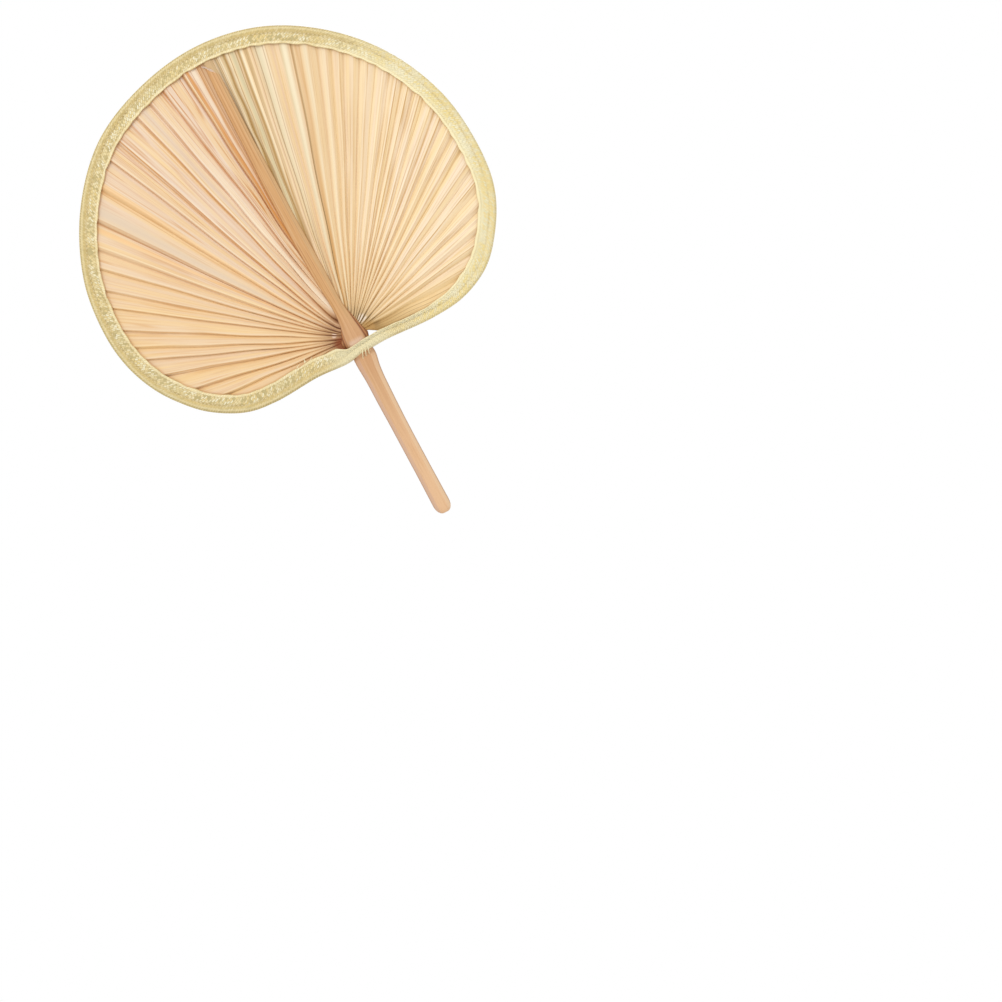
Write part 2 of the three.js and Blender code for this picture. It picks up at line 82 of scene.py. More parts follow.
def smooth_loop(corners, steps):
    """A closed centripetal Catmull-Rom curve through corners, with so many steps from each to the next."""
    before, after, beyond = (np.roll(corners, turn, axis=0) for turn in (1, -1, -2))
    last_gap, gap, next_gap = (
        np.sqrt(np.linalg.norm(q - p, axis=1, keepdims=True))
        for p, q in ((before, corners), (corners, after), (after, beyond))
    )
    leave = (corners - before) / last_gap - (after - before) / (last_gap + gap) + (after - corners) / gap
    arrive = (after - corners) / gap - (beyond - corners) / (gap + next_gap) + (beyond - after) / next_gap
    leave, arrive = leave * gap, arrive * gap
    t = np.linspace(0, 1, steps, endpoint=False)[None, :, None]
    curve = (
        (2 * t**3 - 3 * t**2 + 1) * corners[:, None] + (t**3 - 2 * t**2 + t) * leave[:, None]
        + (3 * t**2 - 2 * t**3) * after[:, None] + (t**3 - t**2) * arrive[:, None]
    )
    return curve.reshape(-1, 2)


rim_line = smooth_loop(np.array(RIM_SHARES) * (BLADE_WIDTH, BLADE_HEIGHT) + (0, HUB), RIM_STEPS)
rim_line = np.vstack([rim_line, rim_line[:1]])
rim_run = np.append(0, np.cumsum(np.linalg.norm(np.diff(rim_line, axis=0), axis=1)))
RIM_LENGTH = rim_run[-1]
print("the rim is", round(RIM_LENGTH, 4), "m round")

# %% A place on the rim
TANGENT_STEP = 0.0008


def rim_point(distance):
    run = np.mod(distance, RIM_LENGTH)
    return np.stack([np.interp(run, rim_run, rim_line[:, axis]) for axis in (0, 1)], axis=-1)


def rim_at(distance):
    """Points of the rim by their distance from the neck, and the directions from there into the leaf."""
    ahead = rim_point(distance + TANGENT_STEP) - rim_point(distance - TANGENT_STEP)
    ahead = ahead / np.linalg.norm(ahead, axis=-1, keepdims=True)
    return rim_point(distance), np.stack([ahead[..., 1], -ahead[..., 0]], axis=-1)


print("top of the rim:", rim_point(RIM_LENGTH / 2).round(3))

# %% [markdown]
# ## The stalk's course
# The stalk is widest just below the hub and thins steadily to the rim, leaning a little to the left as it
# goes. It is kept as a short table of stations, and smoothed between them, because the leaf has to meet its
# flanks wherever they are.

# %% Stations of the stalk
# Each station's height, its place to the right, its width, and how far its front and its back lie out.
HANDLE_STATION_SHARES = [
    (-1, 0.12, 0.885, 0.47, 0.47), (-0.78, 0.075, 0.85, 0.5, 0.5), (-0.6, 0.035, 0.85, 0.5, 0.5),
    (-0.48, 0.015, 0.86, 0.5, 0.5), (-0.37, 0, 0.905, 0.5, 0.5), (-0.25, 0, 0.94, 0.5, 0.5),
    (-0.2, 0, 1, 0.5, 0.5), (-0.165, 0.01, 1.09, 0.5, 0.5), (-0.125, 0.05, 1.19, 0.5, 0.5),
    (-0.09, 0.03, 1.13, 0.5, 0.5), (-0.04, 0, 1.03, 0.5, 0.5),
]
MIDRIB_STATION_SHARES = [
    (0, 0, 0.97, 0.46, 0.43), (0.017, 0, 0.905, 0.45, 0.4), (0.042, 0, 0.764, 0.44, 0.37),
    (0.068, -0.01, 0.67, 0.425, 0.345), (0.093, -0.034, 0.6, 0.41, 0.325), (0.127, -0.061, 0.58, 0.4, 0.3),
    (0.17, -0.1, 0.635, 0.39, 0.28), (0.233, -0.142, 0.7, 0.375, 0.26), (0.347, -0.213, 0.71, 0.36, 0.24),
    (0.424, -0.253, 0.695, 0.35, 0.225), (0.56, -0.284, 0.69, 0.335, 0.21), (0.678, -0.31, 0.61, 0.325, 0.2),
    (0.869, -0.304, 0.58, 0.25, 0.165), (1, -0.284, 0.46, 0.13, 0.13),
]
SMOOTHING_REACH = 5
HEIGHT_STEP = 0.001

stations = np.array(
    [(h * HANDLE_LENGTH, *rest) for h, *rest in HANDLE_STATION_SHARES]
    + [(h * MIDRIB_LENGTH, *rest) for h, *rest in MIDRIB_STATION_SHARES]
)
stations[:, 0] += HUB
stations[:, 1] *= HANDLE_WIDTH
stations[:, 2] *= HANDLE_WIDTH / 2
stations[:, 3:] *= HANDLE_DEPTH
stalk_heights = np.arange(stations[0, 0], stations[-1, 0], HEIGHT_STEP)


def smoothed(row):
    """A row of values, each averaged with its neighbours on both sides."""
    padded = np.pad(row, SMOOTHING_REACH, mode="edge")
    window = np.hanning(2 * SMOOTHING_REACH + 3)[1:-1]
    return np.convolve(padded, window / window.sum(), mode="valid")


stalk_rows = [smoothed(np.interp(stalk_heights, stations[:, 0], stations[:, k])) for k in (1, 2, 3, 4)]


def stalk_at(height):
    """The stalk's centre, half width, front depth and back depth at a height."""
    return [np.interp(height, stalk_heights, row) for row in stalk_rows]


print("half width at the hub:", round(float(stalk_at(HUB)[1]), 4))

# %% [markdown]
# ## Writing materials
# A material is a tree of nodes. Long trees are easier to read as sums, so a small class stands for a value
# that changes over a surface, and Python's own operators add the Math nodes. Every other node comes from
# one method, which takes the node's kind, its settings and what goes into its sockets. A finish is then
# built up as a painter does it, one thin coat over another.

# %% A value on a surface


def srgb(red, green, blue):
    """A colour as a painter names it, 0 to 255, in the linear numbers that Blender works with."""
    scaled = [c / 255 for c in (red, green, blue)]
    return [c / 12.92 if c <= 0.04045 else ((c + 0.055) / 1.055) ** 2.4 for c in scaled] + [1]


def math_step(operation, turned=False):
    """A method that adds one Math node, with its two inputs turned round where that is asked."""

    def step(value, other=0.0):
        first, second = (other, value) if turned else (value, other)
        return value.surface.node("ShaderNodeMath", {"operation": operation}, {0: first, 1: second})

    return step


class Value:
    """A number or colour that varies over a surface."""

    def __init__(self, surface, socket):
        self.surface = surface
        self.socket = socket

    __add__ = __radd__ = math_step("ADD")
    __mul__ = __rmul__ = math_step("MULTIPLY")
    __sub__, __rsub__ = math_step("SUBTRACT"), math_step("SUBTRACT", turned=True)
    __truediv__, __rtruediv__ = math_step("DIVIDE"), math_step("DIVIDE", turned=True)
    floor, part = math_step("FLOOR"), math_step("FRACT")
    size, wave = math_step("ABSOLUTE"), math_step("SINE")
    least, most, above = (math_step(name) for name in ("MINIMUM", "MAXIMUM", "GREATER_THAN"))

    def ramp(self, low, high, start=0.0, end=1.0):
        """Goes smoothly from start to end as the value goes from low to high."""
        return self.surface.node(
            "ShaderNodeMapRange", {"interpolation_type": "SMOOTHSTEP"},
            {"Value": self, "From Min": low, "From Max": high, "To Min": start, "To Max": end},
        )

    def fade(self, low, high, start=1.0):
        """Goes smoothly from start to nothing as the value goes from low to high."""
        return self.ramp(low, high, start, 0.0)

    def hill(self, reach):
        """One at a value of zero, and down to nothing at reach on both sides."""
        return self.size().fade(0.0, reach)


print("a painter's mid grey of 128 is", round(srgb(128, 128, 128)[0], 3), "in linear numbers")

# %% What a surface can be asked


class Surface:
    """The nodes of one material, and what they read at each spot of the surface."""

    def __init__(self, tree):
        self.tree = tree

    def node(self, kind, settings=None, sockets=None, output=0):
        """Any node, from its kind, its settings and what goes into its sockets."""
        made = self.tree.nodes.new(kind)
        for key, value in (settings or {}).items():
            setattr(made, key, value)
        for key, value in (sockets or {}).items():
            if isinstance(value, Value):
                self.tree.links.new(value.socket, made.inputs[key])
            elif made.inputs[key].enabled:
                made.inputs[key].default_value = value
        return Value(self, made.outputs[output])

    def split(self, vector):
        return [self.node("ShaderNodeSeparateXYZ", None, {"Vector": vector}, k) for k in range(3)]

    def joined(self, x, y, z=0.0):
        return self.node("ShaderNodeCombineXYZ", None, {"X": x, "Y": y, "Z": z})

    def uv(self, name):
        return self.split(self.node("ShaderNodeUVMap", {"uv_map": name}))[:2]

    def place(self):
        """The surface's own place in the fan's frame."""
        return self.node("ShaderNodeTexCoord", output=3)

    def away(self, place, centre):
        """How far a place is from a centre."""
        return self.node("ShaderNodeVectorMath", {"operation": "DISTANCE"}, {0: place, 1: centre}, 1)

    def marked(self, name):
        return self.node("ShaderNodeAttribute", {"attribute_name": name}, output=2)

    def noise(self, vector, scale=1.0, detail=2.0, rough=0.5):
        sockets = {"Vector": vector, "Scale": scale, "Detail": detail, "Roughness": rough}
        return self.node("ShaderNodeTexNoise", None, sockets)

    def cloud(self, x, y, z=0.0, detail=2.0, rough=0.5):
        """Noise over two or three numbers, which say how fine it is in each direction."""
        return self.noise(self.joined(x, y, z), 1.0, detail, rough)

    def dice(self, x, y, z):
        """A random number for each whole step of three numbers."""
        sockets = {"Vector": self.joined(x, y, z)}
        return self.node("ShaderNodeTexWhiteNoise", {"noise_dimensions": "3D"}, sockets)


print("a surface can be asked for", [name for name in vars(Surface) if not name.startswith("_")])

# %% A finish


class Finish(Surface):
    """A material that is being written, and the colour that it has so far."""

    def __init__(self, name, roughness, specular=0.35, colour=None):
        self.material = bpy.data.materials.new(name)
        self.material.use_nodes = True
        super().__init__(self.material.node_tree)
        self.shader = self.tree.nodes["Principled BSDF"]
        self.shader.inputs["Roughness"].default_value = roughness
        self.shader.inputs["Specular IOR Level"].default_value = specular
        self.colour = colour

    def mix(self, share, first, second):
        """A colour between two. Each varies over the surface, or is a painter's red, green and blue."""
        first, second = (tone if isinstance(tone, Value) else srgb(*tone) for tone in (first, second))
        return self.node("ShaderNodeMix", {"data_type": "RGBA"}, {0: share, 6: first, 7: second}, 2)

    def coat(self, share, tone):
        """Lays a tone over the colour so far, as strongly as share says."""
        self.colour = self.mix(share, self.colour, tone)

    def paint(self, roughness, height, depth):
        """Puts the colour, the roughness and the relief on the shader."""
        relief = self.node("ShaderNodeBump", None, {"Strength": 1.0, "Distance": depth, "Height": height})
        for key, value in (("Base Color", self.colour), ("Roughness", roughness), ("Normal", relief)):
            self.tree.links.new(value.socket, self.shader.inputs[key])
        print("finish", self.material.name, "has", len(self.tree.nodes), "nodes")
        return self.material


print("finishes can be written")

# %% [markdown]
# ## Light, floor and camera
# A white studio is the plainest light for pale straw. The world lights the fan from all round, two broad
# lamps shape the pleats a little, and the ground is seen as white because the rays that go straight to the
# camera find a strength of 1. The camera stands square to the fan, which leans 27 degrees in the picture.

# %% The studio
LEAN = math.radians(27)
WHITE = (1, 1, 1, 1)
WORLD_LEVEL = 0.83

picture_right = Vector((math.cos(LEAN), 0, -math.sin(LEAN)))
picture_up = Vector((math.sin(LEAN), 0, math.cos(LEAN)))
toward_camera = Vector((0, -1, 0))


def seen_white(tree, shader, lit):
    """Mixes plain white light over a shader, or a background, for the rays that look at it."""
    rays = tree.nodes.new("ShaderNodeLightPath")
    looks = rays.outputs["Is Camera Ray"]
    for name in ("Is Glossy Ray", "Is Transmission Ray"):
        either = tree.nodes.new("ShaderNodeMath")
        either.operation = "MAXIMUM"
        tree.links.new(looks, either.inputs[0])
        tree.links.new(rays.outputs[name], either.inputs[1])
        looks = either.outputs[0]
    blend = tree.nodes.new("ShaderNodeMixShader")
    for socket, value in zip(blend.inputs, (looks, shader, lit)):
        tree.links.new(value, socket)
    return blend.outputs[0]


def studio_world():
    world = bpy.data.worlds.new("studio")
    world.use_nodes = True
    tree = world.node_tree
    ambient, white = tree.nodes["Background"], tree.nodes.new("ShaderNodeBackground")
    ambient.inputs["Strength"].default_value = WORLD_LEVEL
    for light in (ambient, white):
        light.inputs["Color"].default_value = WHITE
    blend = seen_white(tree, ambient.outputs[0], white.outputs[0])
    tree.links.new(blend, tree.nodes["World Output"].inputs["Surface"])
    bpy.context.scene.world = world


studio_world()
bpy.context.scene.view_settings.view_transform = "Standard"
print("the world lights the fan at", WORLD_LEVEL)

# %% The lamps
KEY_LEVEL = 0.28
BACK_LEVEL = 0.25
LAMP_DISTANCE = 1.5
LAMP_SIZE = 0.9

blade_middle = Vector((0, 0, HUB + BLADE_HEIGHT / 3))
key_direction = picture_up * 0.45 - picture_right * 0.3 + toward_camera
back_direction = Vector((0.5, 1, 0.6))


def lamp(name, direction, level):
    """A square lamp that lights a face of the blade turned towards it to the given level."""
    direction = direction.normalized()
    data = bpy.data.lights.new(name, "AREA")
    data.size = LAMP_SIZE
    data.energy = level * math.pi**2 * LAMP_DISTANCE**2
    holder = bpy.data.objects.new(name, data)
    bpy.context.scene.collection.objects.link(holder)
    holder.location = blade_middle + direction * LAMP_DISTANCE
    holder.rotation_euler = (-direction).to_track_quat("-Z", "Y").to_euler()


lamp("key", key_direction, KEY_LEVEL)
lamp("back", back_direction, BACK_LEVEL)
print("two lamps hung", LAMP_DISTANCE, "m away")

# %% The camera
CAMERA_DISTANCE = 2.5
VIEW_WIDTH = 0.7415
VIEW_CENTRE = Vector((0.0417, 0, -0.0748))

view = bpy.data.cameras.new("view")
view.lens = view.sensor_width * CAMERA_DISTANCE / VIEW_WIDTH
camera = bpy.data.objects.new("view", view)
bpy.context.scene.collection.objects.link(camera)
camera.matrix_world = Matrix.Translation(VIEW_CENTRE + toward_camera * CAMERA_DISTANCE) @ Matrix(
    (picture_right, picture_up, toward_camera)
).transposed().to_4x4()
bpy.context.scene.camera = camera
print("camera", [round(x, 3) for x in camera.location], "lens", round(view.lens, 1))

# %% The floor
FLOOR_SIZE = 2.4
FLOOR_DROP = 0.75
FLOOR_PALE = (0.9, 0.9, 0.9, 1)


def deselect():
    """Leaves edit mode, with nothing selected."""
    if bpy.context.object and bpy.context.object.mode != "OBJECT":
        bpy.ops.object.mode_set(mode="OBJECT")
    bpy.ops.object.select_all(action="DESELECT")


def new_piece(name):
    """The primitive that was just added, named, and with its place and turn taken into its mesh."""
    piece = bpy.context.object
    piece.name = name
    bpy.ops.object.transform_apply(location=True, rotation=True, scale=False)
    return piece


def lay_floor():
    deselect()
    bpy.ops.mesh.primitive_plane_add(size=FLOOR_SIZE, location=(0, 0, HUB - FLOOR_DROP))
    floor = new_piece("floor")
    made = Finish("floor_white", 0.9)
    made.shader.inputs["Base Color"].default_value = FLOOR_PALE
    white = made.node("ShaderNodeEmission", None, {"Color": WHITE, "Strength": 1.0})
    blend = seen_white(made.tree, made.shader.outputs[0], white.socket)
    made.tree.links.new(blend, made.tree.nodes["Material Output"].inputs["Surface"])
    floor.data.materials.append(made.material)
    return floor


floor = lay_floor()
print("floor laid at", round(HUB - FLOOR_DROP, 3))

# %% [markdown]
# ## How far the braid reaches in
# The braid hides the leaf's cut edge and presses the pleats flat, so its width comes before the leaf. It is
# drawn in where it crosses the stalk, over a short way on the left and a long one on the right. An eased
# step from one width to the other gives that with no more points to set.

# %% Distance from the neck


def smoothstep(value, low, high):
    """Rises smoothly from 0 to 1 as the value goes from low to high."""
    t = np.clip((np.asarray(value) - low) / (high - low), 0, 1)
    return t * t * (3 - 2 * t)


def from_neck(distance):
    """The shorter way round to the neck: positive to the left of it, negative to the right."""
    run = np.mod(distance, RIM_LENGTH)
    return np.where(run > RIM_LENGTH / 2, run - RIM_LENGTH, run)


print("the farthest point of the rim is", round(RIM_LENGTH / 2, 3), "m from the neck")

# %% The braid's width round the rim
BRAID_WIDTH = 0.0137
VALLEY_INSET = 0.0054
NECK_WIDTH_SHARE = 0.37
NECK_LEFT_REACH = 0.0165
NECK_RIGHT_REACH = 0.12


def drawn_in(distance):
    """The share of the braid's width that is left where it is drawn in near the neck."""
    way = from_neck(distance)
    reach = np.where(way > 0, NECK_LEFT_REACH, NECK_RIGHT_REACH)
    return NECK_WIDTH_SHARE + (1 - NECK_WIDTH_SHARE) * smoothstep(np.abs(way), reach / 3, reach)


def braid_reach(distance):
    """How far the braid reaches in from the rim."""
    return VALLEY_INSET + (BRAID_WIDTH - VALLEY_INSET) * drawn_in(distance)


print("the braid is", round(float(braid_reach(0)) * 1000, 1), "to", BRAID_WIDTH * 1000, "mm wide")

# %% [markdown]
# ## The pleated leaf
# A palm leaf grows folded like a paper fan. Each segment has a ridge towards the front and meets its
# neighbours in the valleys between. The fold lines leave the midrib one after another: those that lean
# little leave high up, the others crowd together at the hub. A sheet folded by hand would need hundreds of
# moves, so a flat grid is added and its points are placed by that rule, then it gets the leaf's thickness.

# %% Where the leaf is cut
LEAF_EDGE_INSET = 0.0016
MIDRIB_ANGLE = -1.1
CUT_STOPS = 2400

cut_places, cut_inward = rim_at(np.linspace(0, RIM_LENGTH, CUT_STOPS))
cut_line = cut_places + cut_inward * LEAF_EDGE_INSET
bearings = np.unwrap(np.arctan2(cut_line[:, 0], cut_line[:, 1] - HUB))
bearings -= bearings[0] + math.pi


def leaf_edge_at(angle):
    """Where a ray from the hub, at an angle in degrees from straight up, meets the cut edge."""
    turned = math.radians(angle)
    return np.array([np.interp(turned, bearings, cut_line[:, axis]) for axis in (0, 1)])


print("the leaf ends", leaf_edge_at(0).round(4), "above the hub")

# %% Where the folds leave the stalk
# How a fold leaves the stalk: its lean in degrees, its height above the hub, its lean right at the root and
# how far that carries. On the left the folds hook into the stalk, on the right the steep ones run beside it.
FOLD_ROOTS = {
    -1: [
        (4, 0.085, 3, 0.02), (6, 0.058, 4, 0.02), (10, 0.034, 10, 0.022), (15, 0.018, 22, 0.024),
        (20, 0.0105, 32, 0.024), (30, 0.007, 44, 0.022), (40, 0.0052, 56, 0.018), (60, 0.003, 73, 0.01),
        (68, 0.0002, 80, 0.012), (95, -0.0015, 93, 0.012), (99.9, -0.0035, 99, 0.03),
    ],
    1: [
        (2.6, 0.125, 1, 0.03), (5.4, 0.075, 1, 0.03), (9, 0.034, 2, 0.03), (14, 0.021, 5, 0.03),
        (20, 0.016, 12, 0.026), (26, 0.0132, 24, 0.018), (33, 0.0108, 38, 0.012), (45, 0.0076, 46, 0.01),
        (55, 0.0054, 56, 0.01), (65, 0.0036, 66, 0.01), (78, 0.0022, 80, 0.01), (90, 0.001, 92, 0.01),
        (99.6, -0.0021, 97, 0.03),
    ],
}
FLANK_CLEARANCE = 0.0003


def flank_point(side, height):
    centre, half, _, _ = stalk_at(height)
    return np.stack([centre + side * (half + FLANK_CLEARANCE), height + 0 * centre], axis=-1)


def fold_root(side, lean):
    """The height above the hub, the lean at the root and its reach for a fold."""
    leans, *columns = np.array(FOLD_ROOTS[side]).T
    return [np.interp(lean, leans, column) for column in columns]


print("a fold that leans 45 degrees leaves", round(fold_root(1, 45)[0] * 1000, 1), "mm above the hub")

# %% The course of a fold
FIRST_ROOT_SHARE = 0.08
FOLD_STRAIGHT_SHARE = 0.36


def margin_line(side, angle, shares):
    """A fold line from the midrib's flank to the cut edge, as points at shares of its way."""
    rise, root_lean, pull = fold_root(side, abs(side * angle - MIDRIB_ANGLE))
    start = flank_point(side, HUB + rise)
    end = leaf_edge_at(side * angle)
    turned = math.radians(root_lean)
    leaving = start + pull * np.array([side * math.sin(turned), math.cos(turned)])
    nearing = end + (start - end) * FOLD_STRAIGHT_SHARE
    t = shares[:, None]
    return (1 - t) ** 3 * start + 3 * (1 - t) ** 2 * t * leaving + 3 * (1 - t) * t**2 * nearing + t**3 * end


def flank_line(side, first_angle, shares):
    """The line along the midrib's flank that the first segment grows from."""
    top = leaf_edge_at(MIDRIB_ANGLE)[1]
    lowest = HUB + fold_root(side, abs(side * first_angle - MIDRIB_ANGLE))[0]
    start = lowest + (top - lowest) * FIRST_ROOT_SHARE
    return flank_point(side, start + (top - start) * shares)


print("the fold at 45 degrees on the left ends at", margin_line(-1, 45, np.ones(1)).round(3)[0])

# %% [markdown]
# ## How deep the pleats are
# The pleats stand open over most of the blade. The braid and the hoops press them flat at the rim, and
# where they are fastened to the midrib they start shallow. No two are alike, so each segment has its own
# depth and its own place for the ridge, and the fold lines waver a little, all from one seed.

# %% Pleat depth
PLEAT_DEPTHS = {-1: 0.0017, 1: 0.0011}
NARROW_SEGMENT = 0.003
# The share of the depth that is left at distances from the rim: under the hoops, at the braid, clear of it.
DEPTH_SHARES = [(0.0044, 0.36), (BRAID_WIDTH, 0.6), (2 * BRAID_WIDTH, 1)]
DEPTH_AT_FLANK_SHARE = 0.45
FLANK_REACH = 0.006


def flank_gap(side, places):
    centre, half, _, _ = stalk_at(places[..., 1])
    return side * (places[..., 0] - centre) - half


def pleat_depth(side, places, spans, from_rim):
    """Half the height from ridge to valley, for segments that are spans wide there."""
    pressed = np.interp(from_rim, *zip(*DEPTH_SHARES))
    freed = smoothstep(flank_gap(side, places), 0, FLANK_REACH)
    freed = DEPTH_AT_FLANK_SHARE + (1 - DEPTH_AT_FLANK_SHARE) * freed
    return PLEAT_DEPTHS[side] * spans / (spans + NARROW_SEGMENT) * pressed * freed


print("half depth of the pleats, left and right:", PLEAT_DEPTHS)

# %% Nearest to the rim
RIM_SAMPLES = 1400
PLACES_AT_ONCE = 1500
sample_runs = np.linspace(0, RIM_LENGTH, RIM_SAMPLES, endpoint=False)
rim_samples = rim_point(sample_runs)


def nearest_rim(places):
    """How far points of the blade are from the rim, and where along the rim that is."""
    flat = places.reshape(-1, 2)
    found = []
    for some in np.array_split(flat, max(1, len(flat) // PLACES_AT_ONCE)):
        apart = ((some[:, None] - rim_samples) ** 2).sum(axis=2)
        found.append([np.sqrt(apart.min(axis=1)), sample_runs[apart.argmin(axis=1)]])
    return [np.concatenate(row).reshape(places.shape[:-1]) for row in zip(*found)]


print("rim sampled at", RIM_SAMPLES, "places")

# %% Angles of the folds
# The fold lines in degrees from straight up, from the midrib outwards, as counted on the fan.
LEFT_ANGLES = [
    7.1, 11.8, 15.2, 18.7, 24.6, 28.1, 33.8, 39.9, 45.5, 49.2, 53.8, 57.5, 62.8, 67.3, 70.5, 76, 82.5, 89,
    95.5, 101,
]
RIGHT_ANGLES = [
    1.5, 4.3, 7.4, 11, 14.3, 19.1, 21.7, 24.2, 27.6, 31, 34.2, 37.2, 39.9, 42.8, 46.2, 49, 52.4, 56.5, 62,
    67, 71.5, 77, 82, 88.5, 98.5,
]
WAVER = 0.0004
WAVER_TURNS = (1.5, 3.5)
# How far the lowest fold line is moved up or down at distances from the middle: it leaves a small gap
# beside the stalk on the right, and tucks under the braid at once on the left.
HEM_AT = {-1: [0.007, 0.03, 0.07], 1: [0.008, 0.0116, 0.0197, 0.03, 0.06, 0.09]}
HEM_MOVES = {-1: [-0.0045, -0.004, 0], 1: [0.0011, 0.0012, -0.0025, -0.0028, -0.0025, 0]}


def wavering(rng, shares):
    """A small smooth sideways drift along a fold line, nothing at its ends."""
    phase, turns = rng.uniform(0, 2 * math.pi), rng.uniform(*WAVER_TURNS)
    return WAVER * np.sin(turns * 2 * math.pi * shares + phase) * np.sin(math.pi * shares)


def fold_lines(side, angles, shares, rng):
    """The midrib's flank and every fold line of a half, as points at shares of their way."""
    lines = [flank_line(side, angles[0], shares)]
    for angle in angles:
        line = margin_line(side, angle, shares)
        line[:, 0] += wavering(rng, shares) * math.cos(math.radians(angle))
        line[:, 1] += wavering(rng, shares) * math.sin(math.radians(angle))
        lines.append(line)
    lines[-1][:, 1] += np.interp(side * lines[-1][:, 0], HEM_AT[side], HEM_MOVES[side])
    return np.array(lines)


print(len(LEFT_ANGLES), "folds on the left,", len(RIGHT_ANGLES), "on the right")

# %% The shape across one segment
CREASE_ROUNDING_SHARE = 0.3
FACET_BULGE_SHARE = 0.1
ROOT_ZONE = 0.06


def across_pleat(across, ridge, places, carried):
    """From 1 in the valley to -1 on the ridge. At the root a weak fold is lost between its neighbours."""
    climb = np.where(across < ridge, across / ridge, (1 - across) / (1 - ridge))
    rounded = climb + (smoothstep(climb, 0, 1) - climb) * CREASE_ROUNDING_SHARE
    bulge = FACET_BULGE_SHARE * np.sin(math.pi * climb)
    from_hub = np.linalg.norm(places - (0, HUB), axis=2)
    at_root = 1 - smoothstep(from_hub, ROOT_ZONE / 4, ROOT_ZONE)
    valley = 1 - 2 * at_root * (1 - carried)[:, None]
    return valley * (1 - rounded)[:, None] - (rounded + bulge)[:, None]


print("weak folds are lost within", ROOT_ZONE, "m of the hub")

# %% [markdown]
# ## A sheet to shape
# A sheet starts as a flat grid. Its points are numbered by column and row, read all at once, moved by
# sums over whole rows, and put back. Numbers that a finish needs later, such as how wide a segment is at
# each point, are kept on the mesh beside them.

# %% A grid and its points


def points_of(piece):
    """All points of a piece as rows of x, y, z."""
    spots = np.empty(len(piece.data.vertices) * 3)
    piece.data.vertices.foreach_get("co", spots)
    return spots.reshape(-1, 3)


def place_points(piece, spots):
    piece.data.vertices.foreach_set("co", np.asarray(spots, float).ravel())
    piece.data.update()


def new_grid(name, columns, rows):
    """A flat grid of so many columns and rows of faces, and each point's column and row."""
    deselect()
    bpy.ops.mesh.primitive_grid_add(x_subdivisions=columns, y_subdivisions=rows, size=2)
    sheet = new_piece(name)
    spots = points_of(sheet)
    column, row = (
        np.rint((spots[:, axis] + 1) / 2 * count).astype(int) for axis, count in ((0, columns), (1, rows))
    )
    print(name, "starts as a grid of", columns, "by", rows)
    return sheet, column, row


print("grids can be laid")

# %% Marks that a finish reads


def mark_uv(piece, name, u, v):
    """A UV map from a value across and a value along at each point."""
    numbers = np.empty(len(piece.data.loops), int)
    piece.data.loops.foreach_get("vertex_index", numbers)
    layer = piece.data.uv_layers.new(name=name)
    layer.data.foreach_set("uv", np.stack([u[numbers], v[numbers]], axis=1).ravel())
    for other in [one for one in piece.data.uv_layers if one.name != name]:
        piece.data.uv_layers.remove(other)


def mark_points(piece, **rows):
    """Named numbers at each point."""
    for name, values in rows.items():
        piece.data.attributes.new(name, "FLOAT", "POINT").data.foreach_set("value", values)
    print(piece.name, "carries", list(rows))


print("marks can be made")

# %% One half of the blade as a folded sheet
COLUMN_SHARES = {
    -1: np.array([0, 0.03, 0.1, 0.22, 0.38, 0.54, 0.68, 0.79, 0.86, 0.9, 0.94, 0.975]),
    1: np.array([0, 0.04, 0.12, 0.24, 0.36, 0.46, 0.54, 0.6, 0.68, 0.78, 0.88, 0.96]),
}
LEAF_ROWS = 120
RIDGE_SHARES = {-1: 0.89, 1: 0.6}
RIDGE_VARIATION_SHARES = {-1: 0.04, 1: 0.1}
DEPTH_VARIATION_SHARE = 0.14
FOLD_VARIATION_SHARE = 0.55
WEAK_FOLD_SHARE = 0.35
TUCK = 0.0009
TUCK_REACH = 0.003


def folded_half(name, side, angles, seed):
    rng = np.random.default_rng(seed)
    shares = np.linspace(0, 1, LEAF_ROWS)
    lines = fold_lines(side, angles, shares, rng)
    count = len(angles)
    segment = np.append(np.repeat(np.arange(count), len(COLUMN_SHARES[side])), count - 1)
    across = np.append(np.tile(COLUMN_SHARES[side], count), 1.0)
    ridges = RIDGE_SHARES[side] + rng.uniform(-1, 1, count) * RIDGE_VARIATION_SHARES[side]
    depths = 1 + rng.uniform(-1, 1, count) * DEPTH_VARIATION_SHARE
    per_fold = (
        rng.uniform(1 - FOLD_VARIATION_SHARE, 1, count + 1) ** 2,
        np.where(np.arange(count + 1) % 2 == 0, 1, WEAK_FOLD_SHARE),
    )
    strength, carried = (folds[segment] * (1 - across) + folds[segment + 1] * across for folds in per_fold)

    inner, outer = lines[segment], lines[segment + 1]
    places = inner + (outer - inner) * across[:, None, None]
    spans = np.linalg.norm(outer - inner, axis=2)
    from_rim, run = nearest_rim(places)
    height = across_pleat(across, ridges[segment], places, carried)
    depth = pleat_depth(side, places, spans, from_rim) * height * depths[segment][:, None]
    places[..., 0] -= side * TUCK * (1 - smoothstep(flank_gap(side, places), 0, TUCK_REACH))

    leaf, column, row = new_grid(name, len(across) - 1, LEAF_ROWS - 1)
    place = places[column, row]
    place_points(leaf, np.stack([place[:, 0], depth[column, row], place[:, 1]], axis=1))
    mark_uv(leaf, "pleats", (segment + across)[column], shares[row])
    mark_points(
        leaf, width=spans[column, row], clear=(from_rim - braid_reach(run))[column, row],
        ridge=ridges[segment][column], strength=strength[column], carried=carried[column],
    )
    return leaf


leaf_left = folded_half("leaf_left", -1, LEFT_ANGLES, 5)
leaf_right = folded_half("leaf_right", 1, RIGHT_ANGLES, 8)

# %% [markdown]
# ## From a sheet to a piece
# Every operator works on what is selected, so a piece is first made the only selected one. The sheet's
# faces are turned to one side, and the Solidify modifier gives the leaf its thickness. It is applied, so
# that the mesh itself is what shows.

# %% Facing outwards


